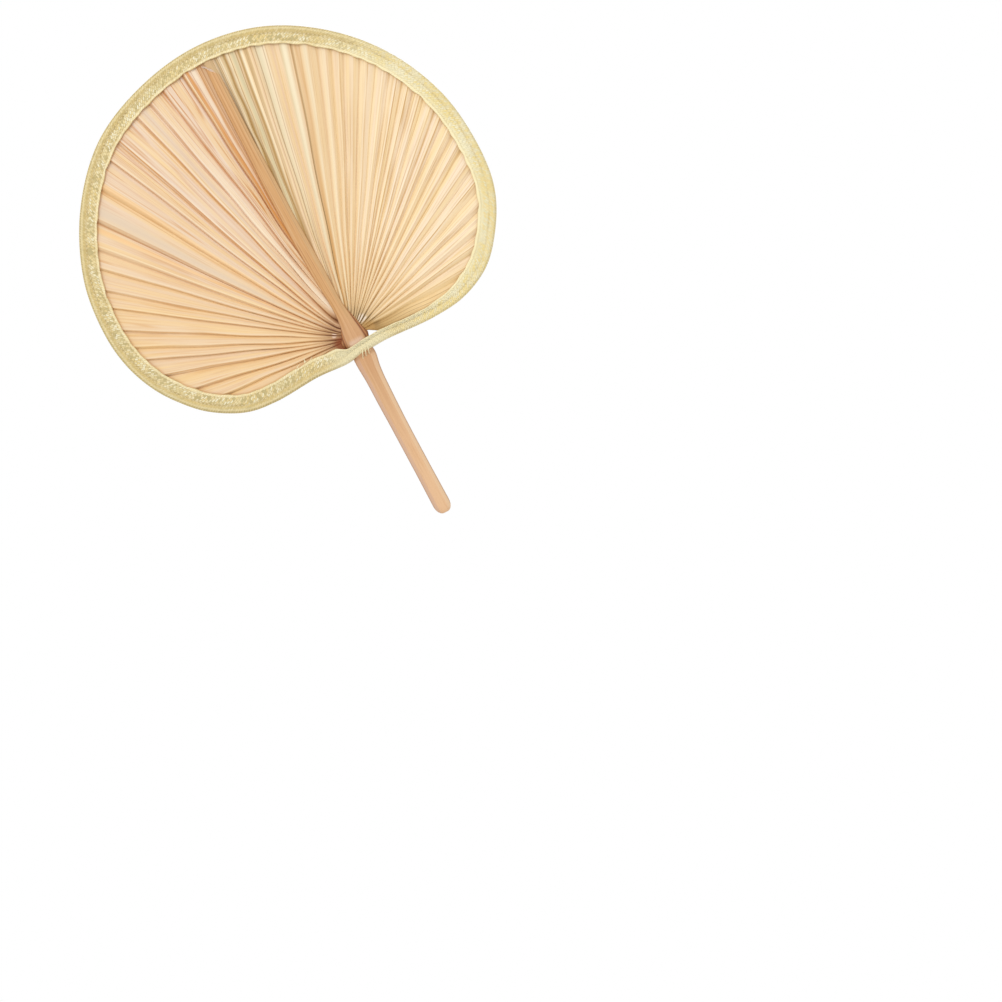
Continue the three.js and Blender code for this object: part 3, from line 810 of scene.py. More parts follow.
def only(piece):
    """Makes a piece the only selected and the active one."""
    deselect()
    piece.select_set(True)
    bpy.context.view_layer.objects.active = piece


def edit_all(piece):
    """Edit mode on a piece, with all of it selected."""
    only(piece)
    bpy.ops.object.mode_set(mode="EDIT")
    bpy.ops.mesh.select_all(action="SELECT")


def outward(piece):
    """Makes every face point out of a closed piece."""
    edit_all(piece)
    bpy.ops.mesh.normals_make_consistent(inside=False)
    bpy.ops.object.mode_set(mode="OBJECT")


def apply_modifier(piece, kind, **settings):
    """Adds a modifier with its settings and applies it."""
    modifier = piece.modifiers.new(kind.lower(), kind)
    for key, value in settings.items():
        setattr(modifier, key, value)
    only(piece)
    bpy.ops.object.modifier_apply(modifier=modifier.name)


print("pieces can be finished")

# %% Leaf thickness
LEAF_THICKNESS = 0.0004

for leaf in (leaf_left, leaf_right):
    outward(leaf)
    apply_modifier(leaf, "SOLIDIFY", thickness=LEAF_THICKNESS, offset=0)
    only(leaf)
    bpy.ops.object.shade_smooth()
    print(leaf.name, "has", len(leaf.data.polygons), "faces")

# %% [markdown]
# ## The leaf's finish
# A dried palm leaf is pale straw, a little pinker on the left of this fan and yellower on the right. Fine
# veins run down every segment and close up towards the hub, so they are drawn in the segment's own
# coordinates. Each fold carries a thin line of brown, strong on some and nearly absent on others, partly
# the crease's own colour and partly painted shade. Near the hub the pleats get painted shade, and their
# crests and ridges painted highlights.

# %% What the pleats tell a finish
FOLDS_CLOSE_UP = (0.014, 0.075)


class LeafFinish(Finish):
    """A leaf's finish, with what it reads at each spot of the pleats."""

    def __init__(self, name, tones):
        super().__init__(name, 0.55, 0.25, tones["straw"])
        self.tones = tones
        self.across, self.along = self.uv("pleats")
        self.part = self.across.part()
        self.width, self.ridge, self.strength, self.clear, self.carried = (
            self.marked(key) for key in ("width", "ridge", "strength", "clear", "carried")
        )
        self.past_ridge = self.part - self.ridge
        self.spot = self.place()
        self.from_hub = self.away(self.spot, (0.0, 0.0, HUB))
        self.near = self.from_hub.fade(*FOLDS_CLOSE_UP)
        self.crest = (self.across / 2.0).part() - 0.5
        self.own = self.dice(self.across.floor(), 3.0, 7.0)
        self.grain = self.cloud(self.across * 17.0, self.along * 1.3, detail=3.0, rough=0.7)


print("a leaf's finish reads the pleats")

# %% Straw in strips


def lay_straw(leaf):
    """Yellower on some segments, pinker in strips, and one face of each pleat in shade."""
    across, along, tones = leaf.across, leaf.along, leaf.tones
    slow = leaf.cloud(across * 0.8, along * 1.6)
    patch = leaf.cloud(across * 1.7 + 40.0, along * 2.2, detail=3.0)
    strip = leaf.cloud(across * 3.4 + 70.0, along * 0.5, detail=1.0)
    leaf.coat((leaf.own * 0.5 + slow).ramp(0.55, 0.95), tones["yellow"])
    leaf.coat((patch + leaf.own * 0.25).ramp(0.52, 0.78) * 0.8, tones["pink"])
    leaf.coat(strip.ramp(0.51, 0.57) * 0.65, tones["pink"])
    leaf.coat(strip.ramp(0.44, 0.38) * 0.5, tones["yellow"])
    leaf.coat(leaf.past_ridge.ramp(0.0, 0.04) * (leaf.strength * 0.22 + 0.04), tones["shade"])


print("straw can be laid")

# %% Veins
# About how many to a segment, where in the noise they start, and how strong they are.
VEIN_SHARES = [(6.0, 3.0, 1.0), (9.0, 31.0, 0.7), (15.0, 57.0, 0.6)]
VEINS_CLOSE_UP = (0.02, 0.05)


def threads_in(leaf, count, start):
    """Thin lines that run along the leaf and fade in and out."""
    field = leaf.cloud(leaf.across * (count / 2.2) + start, leaf.along * 0.7, detail=1.0)
    shown = leaf.cloud(leaf.across * 2.3 + start, leaf.along * 5.0, detail=1.0).ramp(0.38, 0.6)
    return (field - 0.5).hill(0.045) * shown


def draw_veins(leaf):
    apart = 1.0 - leaf.from_hub.fade(*VEINS_CLOSE_UP, 0.85)
    leaf.coat(leaf.grain.ramp(0.5, 0.75) * apart * 0.45, leaf.tones["shade"])
    leaf.coat(leaf.grain.ramp(0.48, 0.25) * apart * 0.7, (255, 241, 214))
    coarse, fine, finest = (threads_in(leaf, count, start) * share for count, start, share in VEIN_SHARES)
    veins = coarse.most(fine).most(finest)
    leaf.coat(veins * leaf.across.ramp(1.0, 5.0, 0.95, 0.6) * apart, leaf.tones["line"])
    return veins


print("veins are drawn in", len(VEIN_SHARES), "sizes")

# %% Fold lines in brown
LINE_WIDTH = 0.0006
STRONG_LINE_WIDTH = 0.0009
# Painted shadow of the braid over each valley line: how far in it reaches and how wide it makes the line.
VALLEY_SHADOW_LENGTH = 0.008
VALLEY_SHADOW_WIDTH = 0.0014
ROOT_SPAN = (0.01, 0.034)
RIDGE_LINE_WIDTH = 0.0007
RIDGE_LINE_SHIFT = 0.0002
GLEAM_WIDTH = 0.0008
GLEAM_SHIFT = 0.0009


def draw_folds(leaf):
    """A line in each valley, own brown and painted shade, wider in the braid's painted shadow, a finer one
    on each ridge and a painted highlight before it.
    """
    near, tones, to_ridge = leaf.near, leaf.tones, leaf.past_ridge * leaf.width
    # Painted shade where the pleats close up towards the hub, and a painted highlight on their crests there.
    leaf.coat(near * 0.8, tones["shade"])
    leaf.coat(leaf.crest.hill(0.34) * near * 0.6, tones["crest"])
    to_fold = leaf.part.least(1.0 - leaf.part) * leaf.width
    # Painted shadow of the braid: the valley line widens where it runs in under the braid.
    valley_shadow = leaf.clear.fade(0.0, VALLEY_SHADOW_LENGTH, VALLEY_SHADOW_WIDTH) * leaf.strength
    root = leaf.from_hub.fade(*ROOT_SPAN)
    reach = leaf.strength * STRONG_LINE_WIDTH + LINE_WIDTH + valley_shadow
    line = (to_fold / reach.least(leaf.width * (root * 0.14 + 0.36))).fade(0.0, 1.0)
    broken = leaf.cloud(leaf.across, leaf.along * 12.0).ramp(0.3, 0.6, 0.6, 1.0)
    bold = (leaf.strength * 0.7 + 0.15 + near * 0.7).least(0.95) * (1.0 - near * (1.0 - leaf.carried))
    own_fold = leaf.dice((leaf.across + 0.5).floor(), 11.0, 2.0).ramp(0.0, 1.0, 0.55, 1.05)
    # The fold line is partly the crease's own brown and partly painted shade, darkest painted shade at the
    # root.
    leaf.coat(line * broken * bold * own_fold, leaf.mix(root, tones["line"], tones["root"]))
    second = (to_ridge - RIDGE_LINE_SHIFT).hill(RIDGE_LINE_WIDTH) * leaf.own.ramp(0.15, 0.8, 0.3, 0.9)
    leaf.coat(second * broken * (1.0 - near), tones["line"])
    # A painted highlight just before each ridge.
    leaf.coat((to_ridge + GLEAM_SHIFT).hill(GLEAM_WIDTH) * 0.4, (255, 240, 212))
    return line


print("fold lines reach", LINE_WIDTH * 1000, "mm and more to both sides")

# %% Shade at the root
# Spans from the hub of painted shade: in the creases, in the gaps, over the root and at the hub; then the
# heel.
CREASE_SHADE_SPAN = (0.018, 0.05)
GAP_SPAN = (0.013, 0.025)
ROOT_SHADE_SPAN = (0.01, 0.036)
HUB_SHADE_SPAN = (0.005, 0.012)
HEEL_SPAN = (0.003, 0.0085)


def shade_root(leaf, dusk_share, speck_at, speck_reach, heel_at):
    """Painted shade in the gaps and over the root, a pale painted highlight, and the brown heel by the
    stalk, partly painted shade.
    """
    from_hub, tones = leaf.from_hub, leaf.tones
    gap = ((leaf.across + 1.0) / 2.0).part() - 0.5
    # Painted shade: in the creases, over the root, in the gaps between the pleats and right at the hub.
    crease_shade = leaf.mix(0.35, tones["line"], tones["root"])
    leaf.coat(gap.hill(0.24) * from_hub.fade(*CREASE_SHADE_SPAN, 0.6), crease_shade)
    leaf.coat(from_hub.fade(*ROOT_SHADE_SPAN) * (1.0 - leaf.crest.hill(0.3) * 0.45) * dusk_share, tones["dusk"])
    leaf.coat(gap.hill(0.4) * from_hub.fade(*GAP_SPAN, 0.95), tones["root"])
    leaf.coat(from_hub.fade(*HUB_SHADE_SPAN, 0.5), tones["root"])
    # A pale speck of painted highlight on the crests near the hub.
    speck_highlight = leaf.away(leaf.spot, speck_at).fade(speck_reach * 0.4, speck_reach)
    leaf.coat(speck_highlight * leaf.crest.hill(0.34), tones["speck"])
    # The heel beside the stalk is partly its own brown and partly painted shade.
    leaf.coat(leaf.away(leaf.spot, heel_at).fade(*HEEL_SPAN, 0.9), tones["heel"])


print("the gaps are dark within", CREASE_SHADE_SPAN[1], "m of the hub")

# %% Leaf material
BRAID_SHADOW_SPAN = (0.0002, 0.0016)
LEAF_RELIEF = 0.00012


def stripes(leaf, rows):
    """A sum of soft stripes: place in segments, then width and strength, each at the root and the rim."""
    total = 0.0
    for place, root_width, rim_width, root_share, rim_share in rows:
        width = leaf.along * (rim_width - root_width) + root_width
        share = leaf.along * (rim_share - root_share) + root_share
        total = ((leaf.across - place) / width).hill(1.0) * share + total
    return total.least(1.0)


def leaf_finish(name, tones, marks, **root):
    leaf = LeafFinish(name, tones)
    lay_straw(leaf)
    veins = draw_veins(leaf)
    line = draw_folds(leaf)
    for tone, rows in marks:
        leaf.coat(stripes(leaf, rows), tone)
    shade_root(leaf, **root)
    rightwards, _, _ = leaf.split(leaf.spot)
    shadow = rightwards.ramp(-0.06, 0.06, 0.28, 0.08)
    leaf.coat(leaf.clear.fade(*BRAID_SHADOW_SPAN) * shadow, tones["line"])
    return leaf.paint(leaf.grain * 0.2 + 0.5, leaf.grain * 0.5 - line * 0.5 - veins * 0.3, LEAF_RELIEF)


print("a leaf's finish can be painted")

# %% [markdown]
# ## Marks of this leaf
# No two segments have dried alike. A few are orange, a few nearly white, and brown lines run beside the
# folds. A few dark olive stripes on the right are painted shade in the deepest folds. Each is a soft
# stripe with its own place and width. Its place is counted in segments from the midrib, and its width
# and strength are shares given at the root and at the rim.

# %% The left leaf's tones and marks
# Straw, yellow and pink are the leaf's own tones. The shade tone, which also darkens the grain, the tone
# laid over the root and the root tone are painted shade. Crest and speck are painted highlights, and line
# and heel are partly painted shade.
LEFT_TONES = {
    "straw": (238, 208, 168), "yellow": (244, 211, 155), "pink": (233, 211, 194),
    "shade": (222, 176, 122), "crest": (240, 206, 166), "line": (204, 138, 72), "root": (108, 62, 36),
    "dusk": (168, 114, 72), "speck": (248, 218, 198), "heel": (142, 74, 38),
}
LEFT_MARK_SHARES = [
    ((240, 204, 148), [(14.0, 12.0, 12.0, 0.5, 0.5), (19.2, 2.0, 2.0, 0.3, 0.5)]),
    ((212, 172, 128), [(0.08, 0.3, 0.34, 0.6, 0.85)]),
    ((216, 150, 82), [(0.46, 0.95, 0.2, 1.1, 0.0), (0.76, 0.5, 0.08, 0.3, 1.0)]),
    ((226, 204, 178), [(7.66, 0.34, 0.4, 0.5, 1.0), (3.5, 0.3, 0.4, 0.2, 0.6)]),
    ((246, 200, 144), [(8.25, 0.16, 0.16, 0.6, 0.6), (6.85, 0.16, 0.14, 0.5, 0.6)]),
    ((249, 232, 206), [(0.5, 0.05, 0.24, 0.0, 0.9), (2.7, 1.1, 0.6, 0.8, 0.1)]),
    ((180, 118, 66), [
        (8.02, 0.07, 0.06, 0.7, 0.6), (1.0, 0.24, 0.09, 0.9, 0.5), (0.16, 0.06, 0.05, 0.2, 0.8),
        (0.3, 0.1, 0.03, 0.3, 0.7), (0.62, 0.04, 0.02, 0.5, 0.7), (0.84, 0.04, 0.02, 0.5, 0.6),
    ]),
]

leaf_left.data.materials.append(leaf_finish(
    "leaf_straw_left", LEFT_TONES, LEFT_MARK_SHARES, dusk_share=0.8,
    speck_at=(-0.0128, 0.0, HUB + 0.0062), speck_reach=0.0026, heel_at=(-0.0105, 0.0, HUB - 0.0025),
))

# %% The right leaf's tones and marks
# These tones play the same parts as on the left.
RIGHT_TONES = {
    "straw": (252, 228, 186), "yellow": (251, 223, 172), "pink": (249, 227, 200),
    "shade": (232, 194, 136), "crest": (246, 216, 170), "line": (206, 160, 96), "root": (66, 42, 22),
    "dusk": (186, 146, 90), "speck": (252, 242, 230), "heel": (190, 148, 88),
}
RIGHT_MARK_SHARES = [
    ((228, 192, 142), [(5.0, 8.0, 8.0, 0.5, 0.45)]),
    ((242, 208, 148), [(24.4, 2.2, 1.8, 0.8, 0.8)]),
    ((243, 228, 196), [(3.2, 0.6, 0.5, 0.2, 1.0), (4.55, 0.4, 0.35, 0.4, 0.9), (5.5, 0.2, 0.2, 0.0, 0.7)]),
    ((232, 198, 164), [(2.7, 0.12, 0.08, 0.8, 0.5), (3.85, 0.14, 0.1, 0.8, 0.6)]),
    ((184, 142, 92), [
        (2.2, 0.35, 0.1, 1.1, -1.0), (3.4, 0.35, 0.1, 0.9, -0.9), (4.93, 0.05, 0.07, 0.2, 0.9),
    ]),
    # Painted shade in the deep fold beside the midrib.
    ((144, 114, 68), [(1.2, 0.25, 0.12, 1.2, 0.1)]),
    ((214, 166, 106), [(5.22, 0.42, 0.24, 1.3, 0.3)]),
    ((212, 190, 148), [(0.5, 1.0, 0.5, 0.8, 0.5)]),
    ((210, 198, 158), [
        (1.6, 0.45, 0.3, 0.7, 0.85), (3.1, 0.3, 0.3, 0.2, 0.4), (4.4, 0.2, 0.2, 0.2, 0.4),
        (0.86, 0.1, 0.1, 0.3, 0.6),
    ]),
    ((253, 240, 206), [
        (4.55, 0.1, 0.24, 0.1, 0.6), (0.55, 0.1, 0.2, 0.0, 0.6), (1.2, 0.12, 0.14, 0.2, 0.7),
        (2.15, 0.16, 0.16, 0.3, 0.9), (6.4, 0.5, 0.3, 0.6, 0.3),
    ]),
    # Brown lines, and at 24.4 painted shade over the lowest segments near the root.
    ((180, 142, 82), [
        (1.0, 0.55, 0.2, 1.0, 0.85), (2.0, 0.4, 0.14, 0.9, 0.8), (2.45, 0.2, 0.18, 0.1, 0.7),
        (24.4, 2.4, 0.3, 1.1, -0.7), (22.8, 0.6, 0.1, 0.6, 0.0), (5.0, 0.3, 0.1, 0.5, 0.1),
    ]),
    ((160, 118, 68), [
        (0.36, 0.05, 0.05, 0.6, 0.8), (0.52, 0.04, 0.04, 0.4, 0.6), (1.34, 0.06, 0.04, 0.4, 0.8),
        (1.78, 0.06, 0.04, 0.3, 0.8), (2.35, 0.05, 0.03, 0.4, 0.5), (2.75, 0.05, 0.03, 0.4, 0.6),
        (3.4, 0.05, 0.04, 0.4, 0.5), (3.0, 0.12, 0.05, 0.6, 0.6), (24.2, 0.05, 0.04, 0.7, 0.4),
        (24.42, 0.05, 0.03, 0.7, 0.4), (24.66, 0.05, 0.04, 0.7, 0.4),
    ]),
    # The first is painted shade in the valley beside the midrib, the second the dark line of the fifth fold.
    ((116, 88, 50), [(0.2, 0.4, 0.1, 1.0, 0.45), (4.99, 0.14, 0.06, 1.0, 0.1)]),
]

leaf_right.data.materials.append(leaf_finish(
    "leaf_straw_right", RIGHT_TONES, RIGHT_MARK_SHARES, dusk_share=0.35,
    speck_at=(0.0115, 0.0, HUB + 0.0085), speck_reach=0.0046, heel_at=(0.0125, 0.0, HUB),
))

# %% What the sheets stand for
for leaf, side in ((leaf_left, "left"), (leaf_right, "right")):
    starts = (f"leaf_segment_{side}", f"leaf_base_{side}")
    nodes = [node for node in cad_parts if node.startswith(starts)]
    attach(leaf, "root")
    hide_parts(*nodes)
    print(leaf.name, "stands for", len(nodes), "solids")

# %% [markdown]
# ## The stalk
# The stalk is cut from the leaf's own stem: a flat front between two broad bevels, a flat back and an end
# that is rounded off. A ring of that section, its corners eased, is pulled up through the stations by one
# extrusion after another, and grows to its full size over the first few.

# %% The section of the stalk
STALK_CORNER_SHARES = [
    (-0.56, -1), (0.56, -1), (1, -0.35), (1, 0.55), (0.84, 1), (-0.84, 1), (-1, 0.55), (-1, -0.35),
]
CORNER_EASING_SHARE = 0.2
END_RUN = [0, 0.0004, 0.0011, 0.0024, 0.004, 0.0058, 0.0076]
END_WIDTH_SHARES = [0.3, 0.48, 0.63, 0.79, 0.9, 0.97, 1]
END_DEPTH_SHARES = [0.6, 0.76, 0.88, 0.96, 0.99, 1, 1]

butt, tip = stations[0, 0], stations[-1, 0]


def eased_ring():
    """The outline in shares of the half width and half depth, each corner eased by three points."""
    corners = np.array(STALK_CORNER_SHARES)
    before, after = np.roll(corners, 1, axis=0), np.roll(corners, -1, axis=0)
    enter = corners + (before - corners) * CORNER_EASING_SHARE
    leave = corners + (after - corners) * CORNER_EASING_SHARE
    return np.stack([enter, (enter + 2 * corners + leave) / 4, leave], axis=1).reshape(-1, 2)


def stalk_ring(height):
    """The stalk's centre, half width, middle and half depth at a height."""
    centre, half, front, back = stalk_at(height)
    run = height - butt
    wide, deep = (np.interp(run, END_RUN, shares) for shares in (END_WIDTH_SHARES, END_DEPTH_SHARES))
    return centre, half * wide, (back - front) / 2, (front + back) / 2 * deep


print("the section has", len(eased_ring()), "points")

# %% Pull the stalk up from its end
STALK_STEP = 0.003


def pull_on(move, scale, centre):
    """Extrudes what is selected, and resizes its new end about a centre."""
    bpy.ops.mesh.extrude_region_move(TRANSFORM_OT_translate={"value": move})
    bpy.ops.transform.resize(value=scale, center_override=centre)


def pull_stalk():
    heights = [butt + run for run in END_RUN]
    heights += list(np.arange(heights[-1] + STALK_STEP, tip, STALK_STEP))
    ring = eased_ring()
    deselect()
    bpy.ops.mesh.primitive_circle_add(vertices=len(ring), radius=1, fill_type="NGON")
    stalk = new_piece("stalk_and_midrib")
    centre, half, middle, deep = stalk_ring(butt)
    place_points(stalk, [(centre + x * half, middle + y * deep, butt) for x, y in ring])
    edit_all(stalk)
    for low, high in zip(heights, heights[1:]):
        was, now = stalk_ring(low), stalk_ring(high)
        move = (now[0] - was[0], now[2] - was[2], high - low)
        pull_on(move, (now[1] / was[1], now[3] / was[3], 1), (now[0], now[2], high))
    outward(stalk)
    print("stalk pulled through", len(heights), "stations")
    return stalk


stalk = pull_stalk()

# %% The wings beside the hub
# The leaf's hard base leaves a brown wing on both flanks of the stalk, the longer one on the right.
WING_HEIGHTS = [-0.0078, -0.006, -0.0045, -0.0022, 0, 0.0049, 0.0085, 0.0156, 0.024]
WING_REACHES = {
    1: [0.0004, 0.0021, 0.003, 0.0038, 0.003, 0.002, 0.0017, 0.001, 0],
    -1: [0.0004, 0.002, 0.0034, 0.0036, 0.0024, 0.0008, 0, 0, 0],
}


def shape_wings():
    spots = points_of(stalk)
    centre, half, _, _ = stalk_at(spots[:, 2])
    across = (spots[:, 0] - centre) / half
    for side, reaches in WING_REACHES.items():
        reach = np.interp(spots[:, 2] - HUB, WING_HEIGHTS, reaches, left=0)
        spots[:, 0] += side * reach * np.clip(side * across, 0, 1) ** 3
    place_points(stalk, spots)
    print("wings reach", WING_REACHES[1][3] * 1000, "mm out")


shape_wings()

# %% Shade and mark the stalk


def smooth_shaded(piece, angle):
    """Smooth shading, but for edges sharper than an angle in degrees."""
    only(piece)
    bpy.ops.object.shade_smooth_by_angle(angle=math.radians(angle))


smooth_shaded(stalk, 50)
stalk_spots = points_of(stalk)
stalk_centre, stalk_half, _, _ = stalk_at(stalk_spots[:, 2])
mark_uv(stalk, "bark", (stalk_spots[:, 0] - stalk_centre) / stalk_half, stalk_spots[:, 2])
print("stalk has", len(stalk.data.polygons), "faces")

# %% [markdown]
# ## The stalk's finish
# The front of the handle is a warm tan. Its bevels are cut through to the paler, greyer wood. Fine fibres
# run the whole length, darker along the midrib, and the stalk browns where it enters the braid.

# %% Bark
# Spans of height above the hub, in metres.
HANDLE_DARKENS = (-0.12, -0.02)
BLADE_BEGINS = (-0.004, 0.03)
BEVELS_END = (-0.022, -0.006)


class BarkFinish(Finish):
    """The stalk's finish, with what it reads across and up the stalk."""

    def __init__(self):
        super().__init__("palm_stalk", 0.5, 0.4, (229, 186, 144))
        self.across, height = self.uv("bark")
        self.rightwards, depth, _ = self.split(self.place())
        self.rise = height - HUB
        self.out = self.across.size()
        self.blade = self.rise.ramp(*BLADE_BEGINS)
        self.streaks = self.cloud(self.across * 4.0, height * 9.0, detail=3.0, rough=0.6)
        self.fibres = self.cloud(self.across * 14.0, height * 34.0, depth * 900.0, 3.0, 0.7)
        self.patches = self.cloud(self.across * 1.2, height * 26.0)


def lay_bark(bark):
    """Warm tan, with streaks and fibres. The bevels are cut through to paler wood, and the handle's edges
    get painted shade.
    """
    across, streaks = bark.across, bark.streaks
    bark.coat(bark.rise.ramp(*HANDLE_DARKENS), (206, 158, 112))
    bark.coat(bark.blade, (208, 157, 100))
    bark.coat(streaks.ramp(0.38, 0.7) * 0.5, (232, 190, 144))
    bark.coat(bark.patches.ramp(0.5, 0.75) * 0.35, (214, 162, 110))
    bark.coat(bark.fibres.ramp(0.5, 0.75) * 0.45, (194, 142, 92))
    below = bark.rise.fade(*BEVELS_END)
    bark.coat((across + streaks * 0.1).ramp(-0.42, -0.56) * below * 0.85, (214, 176, 148))
    bark.coat((across - streaks * 0.1).ramp(0.4, 0.55) * below * 0.8, (234, 198, 158))
    # Painted shade along the handle's edges.
    bark.coat(bark.out.ramp(0.84, 0.98) * (1.0 - bark.blade) * 0.75, (178, 140, 112))


print("bark can be laid")

# %% Midrib and neck
TEAR_SLOPE = 1.24
TEAR_HEIGHT = 0.2163
TEAR_SOFTNESS = 0.0012
# Where a band lies above the hub, how far it reaches up and down from there, and its share.
NECK_BROWN = (-0.012, 0.034, 0.25)
BRAID_GLOW = (-0.0055, 0.0042, 0.6)
BRAID_SHADE = (-0.0165, 0.0026, 0.4)
WING_BAND = (0.002, 0.026, 1.4)


def band(bark, height, reach, share):
    """A soft band across the stalk, round a height above the hub."""
    return (bark.rise - height).hill(reach) * share


def draw_midrib(bark):
    """Paler on the right, dark lines down it, browner flanks, and bare olive wood past the tear."""
    across, blade = bark.across, bark.blade
    bark.coat(across.ramp(0.2, 0.5) * blade * 0.6, (208, 172, 124))
    lines = (across * 11.0 + bark.streaks * 4.0).wave().ramp(0.6, 1.0)
    bark.coat(lines * blade * bark.patches.ramp(0.35, 0.55) * 0.6, (176, 118, 66))
    bark.coat(bark.out.ramp(0.86, 1.0) * blade * 0.6, (166, 112, 64))
    past_tear = bark.rise + bark.rightwards * TEAR_SLOPE - TEAR_HEIGHT
    bare = bark.mix(bark.streaks, (222, 194, 150), (188, 158, 112))
    bark.coat(past_tear.ramp(-TEAR_SOFTNESS, TEAR_SOFTNESS) * 0.75, bare)


def shade_neck(bark):
    """Brown at the neck, light thrown back above the braid, its shade below it, and the ribbed wings."""
    bark.coat(band(bark, *NECK_BROWN), (196, 138, 92))
    bark.coat(band(bark, *BRAID_GLOW) * bark.out.ramp(0.9, 0.6), (232, 204, 180))
    bark.coat(band(bark, *BRAID_SHADE), (158, 110, 70))
    ribs = (bark.across * 22.0).wave().ramp(-0.6, 0.9)
    wing = bark.out.ramp(0.93, 1.06) * band(bark, *WING_BAND)
    bark.coat(wing.least(0.92), bark.mix(ribs, (134, 78, 42), (186, 128, 78)))


print("the midrib and the neck can be drawn")

# %% Stalk material
BARK_RELIEF = 0.00015


def stalk_finish():
    bark = BarkFinish()
    lay_bark(bark)
    draw_midrib(bark)
    shade_neck(bark)
    return bark.paint(bark.fibres * 0.25 + 0.42, bark.fibres * 0.6 + bark.streaks * 0.4, BARK_RELIEF)


stalk.data.materials.append(stalk_finish())
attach(stalk, "root")
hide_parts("stalk")

# %% [markdown]
# ## The braid
# The braid is a tape of plaited straw, folded over the hoops and sewn down. It has a swelling over the
# hoop, a valley where it is sewn, a crowned woven field and a corded selvedge. A grid is wrapped round the
# rim by that section, its ends and edges are merged into one closed skin, and the plait stands out of it.

# %% The braid's course
NECK_HALF = 0.01
NECK_FADE = 0.016
NECK_RISE = 0.00271
VALLEY_END = 0.0057


def neck_lift(distance):
    """How far both faces rise to let the stalk pass between them."""
    away = np.abs(from_neck(distance)) - NECK_HALF
    return NECK_RISE * (1 - smoothstep(away, 0, NECK_FADE))


def braid_place(distance, inset, depth):
    """A point of the braid by distance round the rim, inset from it and depth from the leaf's plane."""
    point, inward = rim_at(distance)
    narrow = drawn_in(distance)
    reach = np.where(inset > VALLEY_END, VALLEY_INSET + (inset - VALLEY_INSET) * narrow, inset)
    lifted = depth + np.sign(depth) * neck_lift(distance)
    place = point + inward * reach[..., None]
    return np.stack([place[..., 0], lifted, place[..., 1]], axis=-1)


print("braid course set")

# %% The braid's section
# Points by their distance in from the rim and out from the leaf's plane: the outer skin from the rim to
# the selvedge, then the inner one back, round the hoop.
OUTER_SECTION = [
    (0, 0), (0.00012, 0.0011), (0.0005, 0.0021), (0.001, 0.00285), (0.0018, 0.00335), (0.0027, 0.00355),
    (0.0036, 0.0034), (0.0045, 0.00285), (0.0054, 0.00242), (0.0064, 0.00262), (0.0078, 0.00285),
    (0.0095, 0.00284), (0.0108, 0.00266), (0.0115, 0.00244), (0.0119, 0.00262), (0.0125, 0.00294),
    (0.0131, 0.00288), (0.0136, 0.00255), (0.0137, 0.0022),
]
INNER_SECTION = [
    (0.0134, 0.002), (0.011, 0.00197), (0.0065, 0.00197), (0.005, 0.0023), (0.0044, 0.00288),
    (0.0012, 0.00288), (0.0008, 0.0018), (0.0007, 0),
]
BRAID_PITCH = 0.00072


def spaced(section, step):
    """A section with a point at every step of its way, its corners rounded by that."""
    section = np.array(section)
    run = np.append(0, np.cumsum(np.linalg.norm(np.diff(section, axis=0), axis=1)))
    stops = np.linspace(0, run[-1], max(2, round(run[-1] / step) + 1))
    return np.stack([np.interp(stops, run, section[:, k]) for k in (0, 1)], axis=1)


def braid_rows():
    """Inset, depth and whether it is the outer skin, all round the section."""
    outer, inner = spaced(OUTER_SECTION, BRAID_PITCH), np.array(INNER_SECTION)
    front = [(i, -d, 1) for i, d in outer] + [(i, -d, 0) for i, d in inner]
    back = [(i, d, 0) for i, d in inner[-2::-1]] + [(i, d, 1) for i, d in outer[::-1]]
    return np.array(front + back)


section_rows = braid_rows()
print("the braid's section has", len(section_rows), "points")

# %% Plaited and uneven
RELIEF = 0.00013
RELIEF_FROM = 0.0008
RELIEF_TO = (0.0114, 0.0118)
UNEVENNESS = 0.00016
UNEVEN_FROM = 0.002
SELVEDGE_WANDER = 0.0009
SELVEDGE_SPAN = (0.0085, 0.0118)


def drift(round_rim, first, spacing, turns):
    """A sum of slow waves round the rim, between -1 and 1."""
    return sum(np.sin((k + first) * spacing * round_rim + turn) for k, turn in enumerate(turns)) / len(turns)


def plaited(column, row, share_round):
    """Inset and depth of the braid's points, with its plait, its unevenness and its wavy selvedge."""
    turns = np.random.default_rng(21).uniform(0, 2 * math.pi, 6)
    inset, depth, skin = section_rows[row].T
    round_rim = share_round * 2 * math.pi
    inset = inset + drift(round_rim, 4, 9, turns[::-1]) * SELVEDGE_WANDER * smoothstep(inset, *SELVEDGE_SPAN)
    woven = skin * smoothstep(inset, 0, RELIEF_FROM) * (1 - smoothstep(inset, *RELIEF_TO))
    lattice = np.where((column + row) % 2 == 0, -1.0, 1.0) * RELIEF * woven
    uneven = drift(round_rim, 3, 11, turns) * UNEVENNESS * skin * smoothstep(inset, 0, UNEVEN_FROM)
    return inset, depth + np.sign(depth) * (lattice + uneven)


print("the plait stands", RELIEF * 1000, "mm out")

# %% Wrap the braid
BACK_SHIFT = 0.05
MERGE_DISTANCE = 1e-6


def wrap_braid():
    columns = 2 * round(RIM_LENGTH / BRAID_PITCH / 2)
    braid, column, row = new_grid("straw_braid", columns, len(section_rows) - 1)
    distance = column / columns * RIM_LENGTH
    inset, depth = plaited(column, row, column / columns)
    place_points(braid, braid_place(distance, inset, depth))
    mark_uv(braid, "tape", distance, inset + np.where(section_rows[row, 1] > 0, BACK_SHIFT, 0))
    edit_all(braid)
    bpy.ops.mesh.remove_doubles(threshold=MERGE_DISTANCE)
    outward(braid)
    bpy.ops.object.shade_smooth()
    print("braid has", len(braid.data.polygons), "faces")
    return braid


braid = wrap_braid()

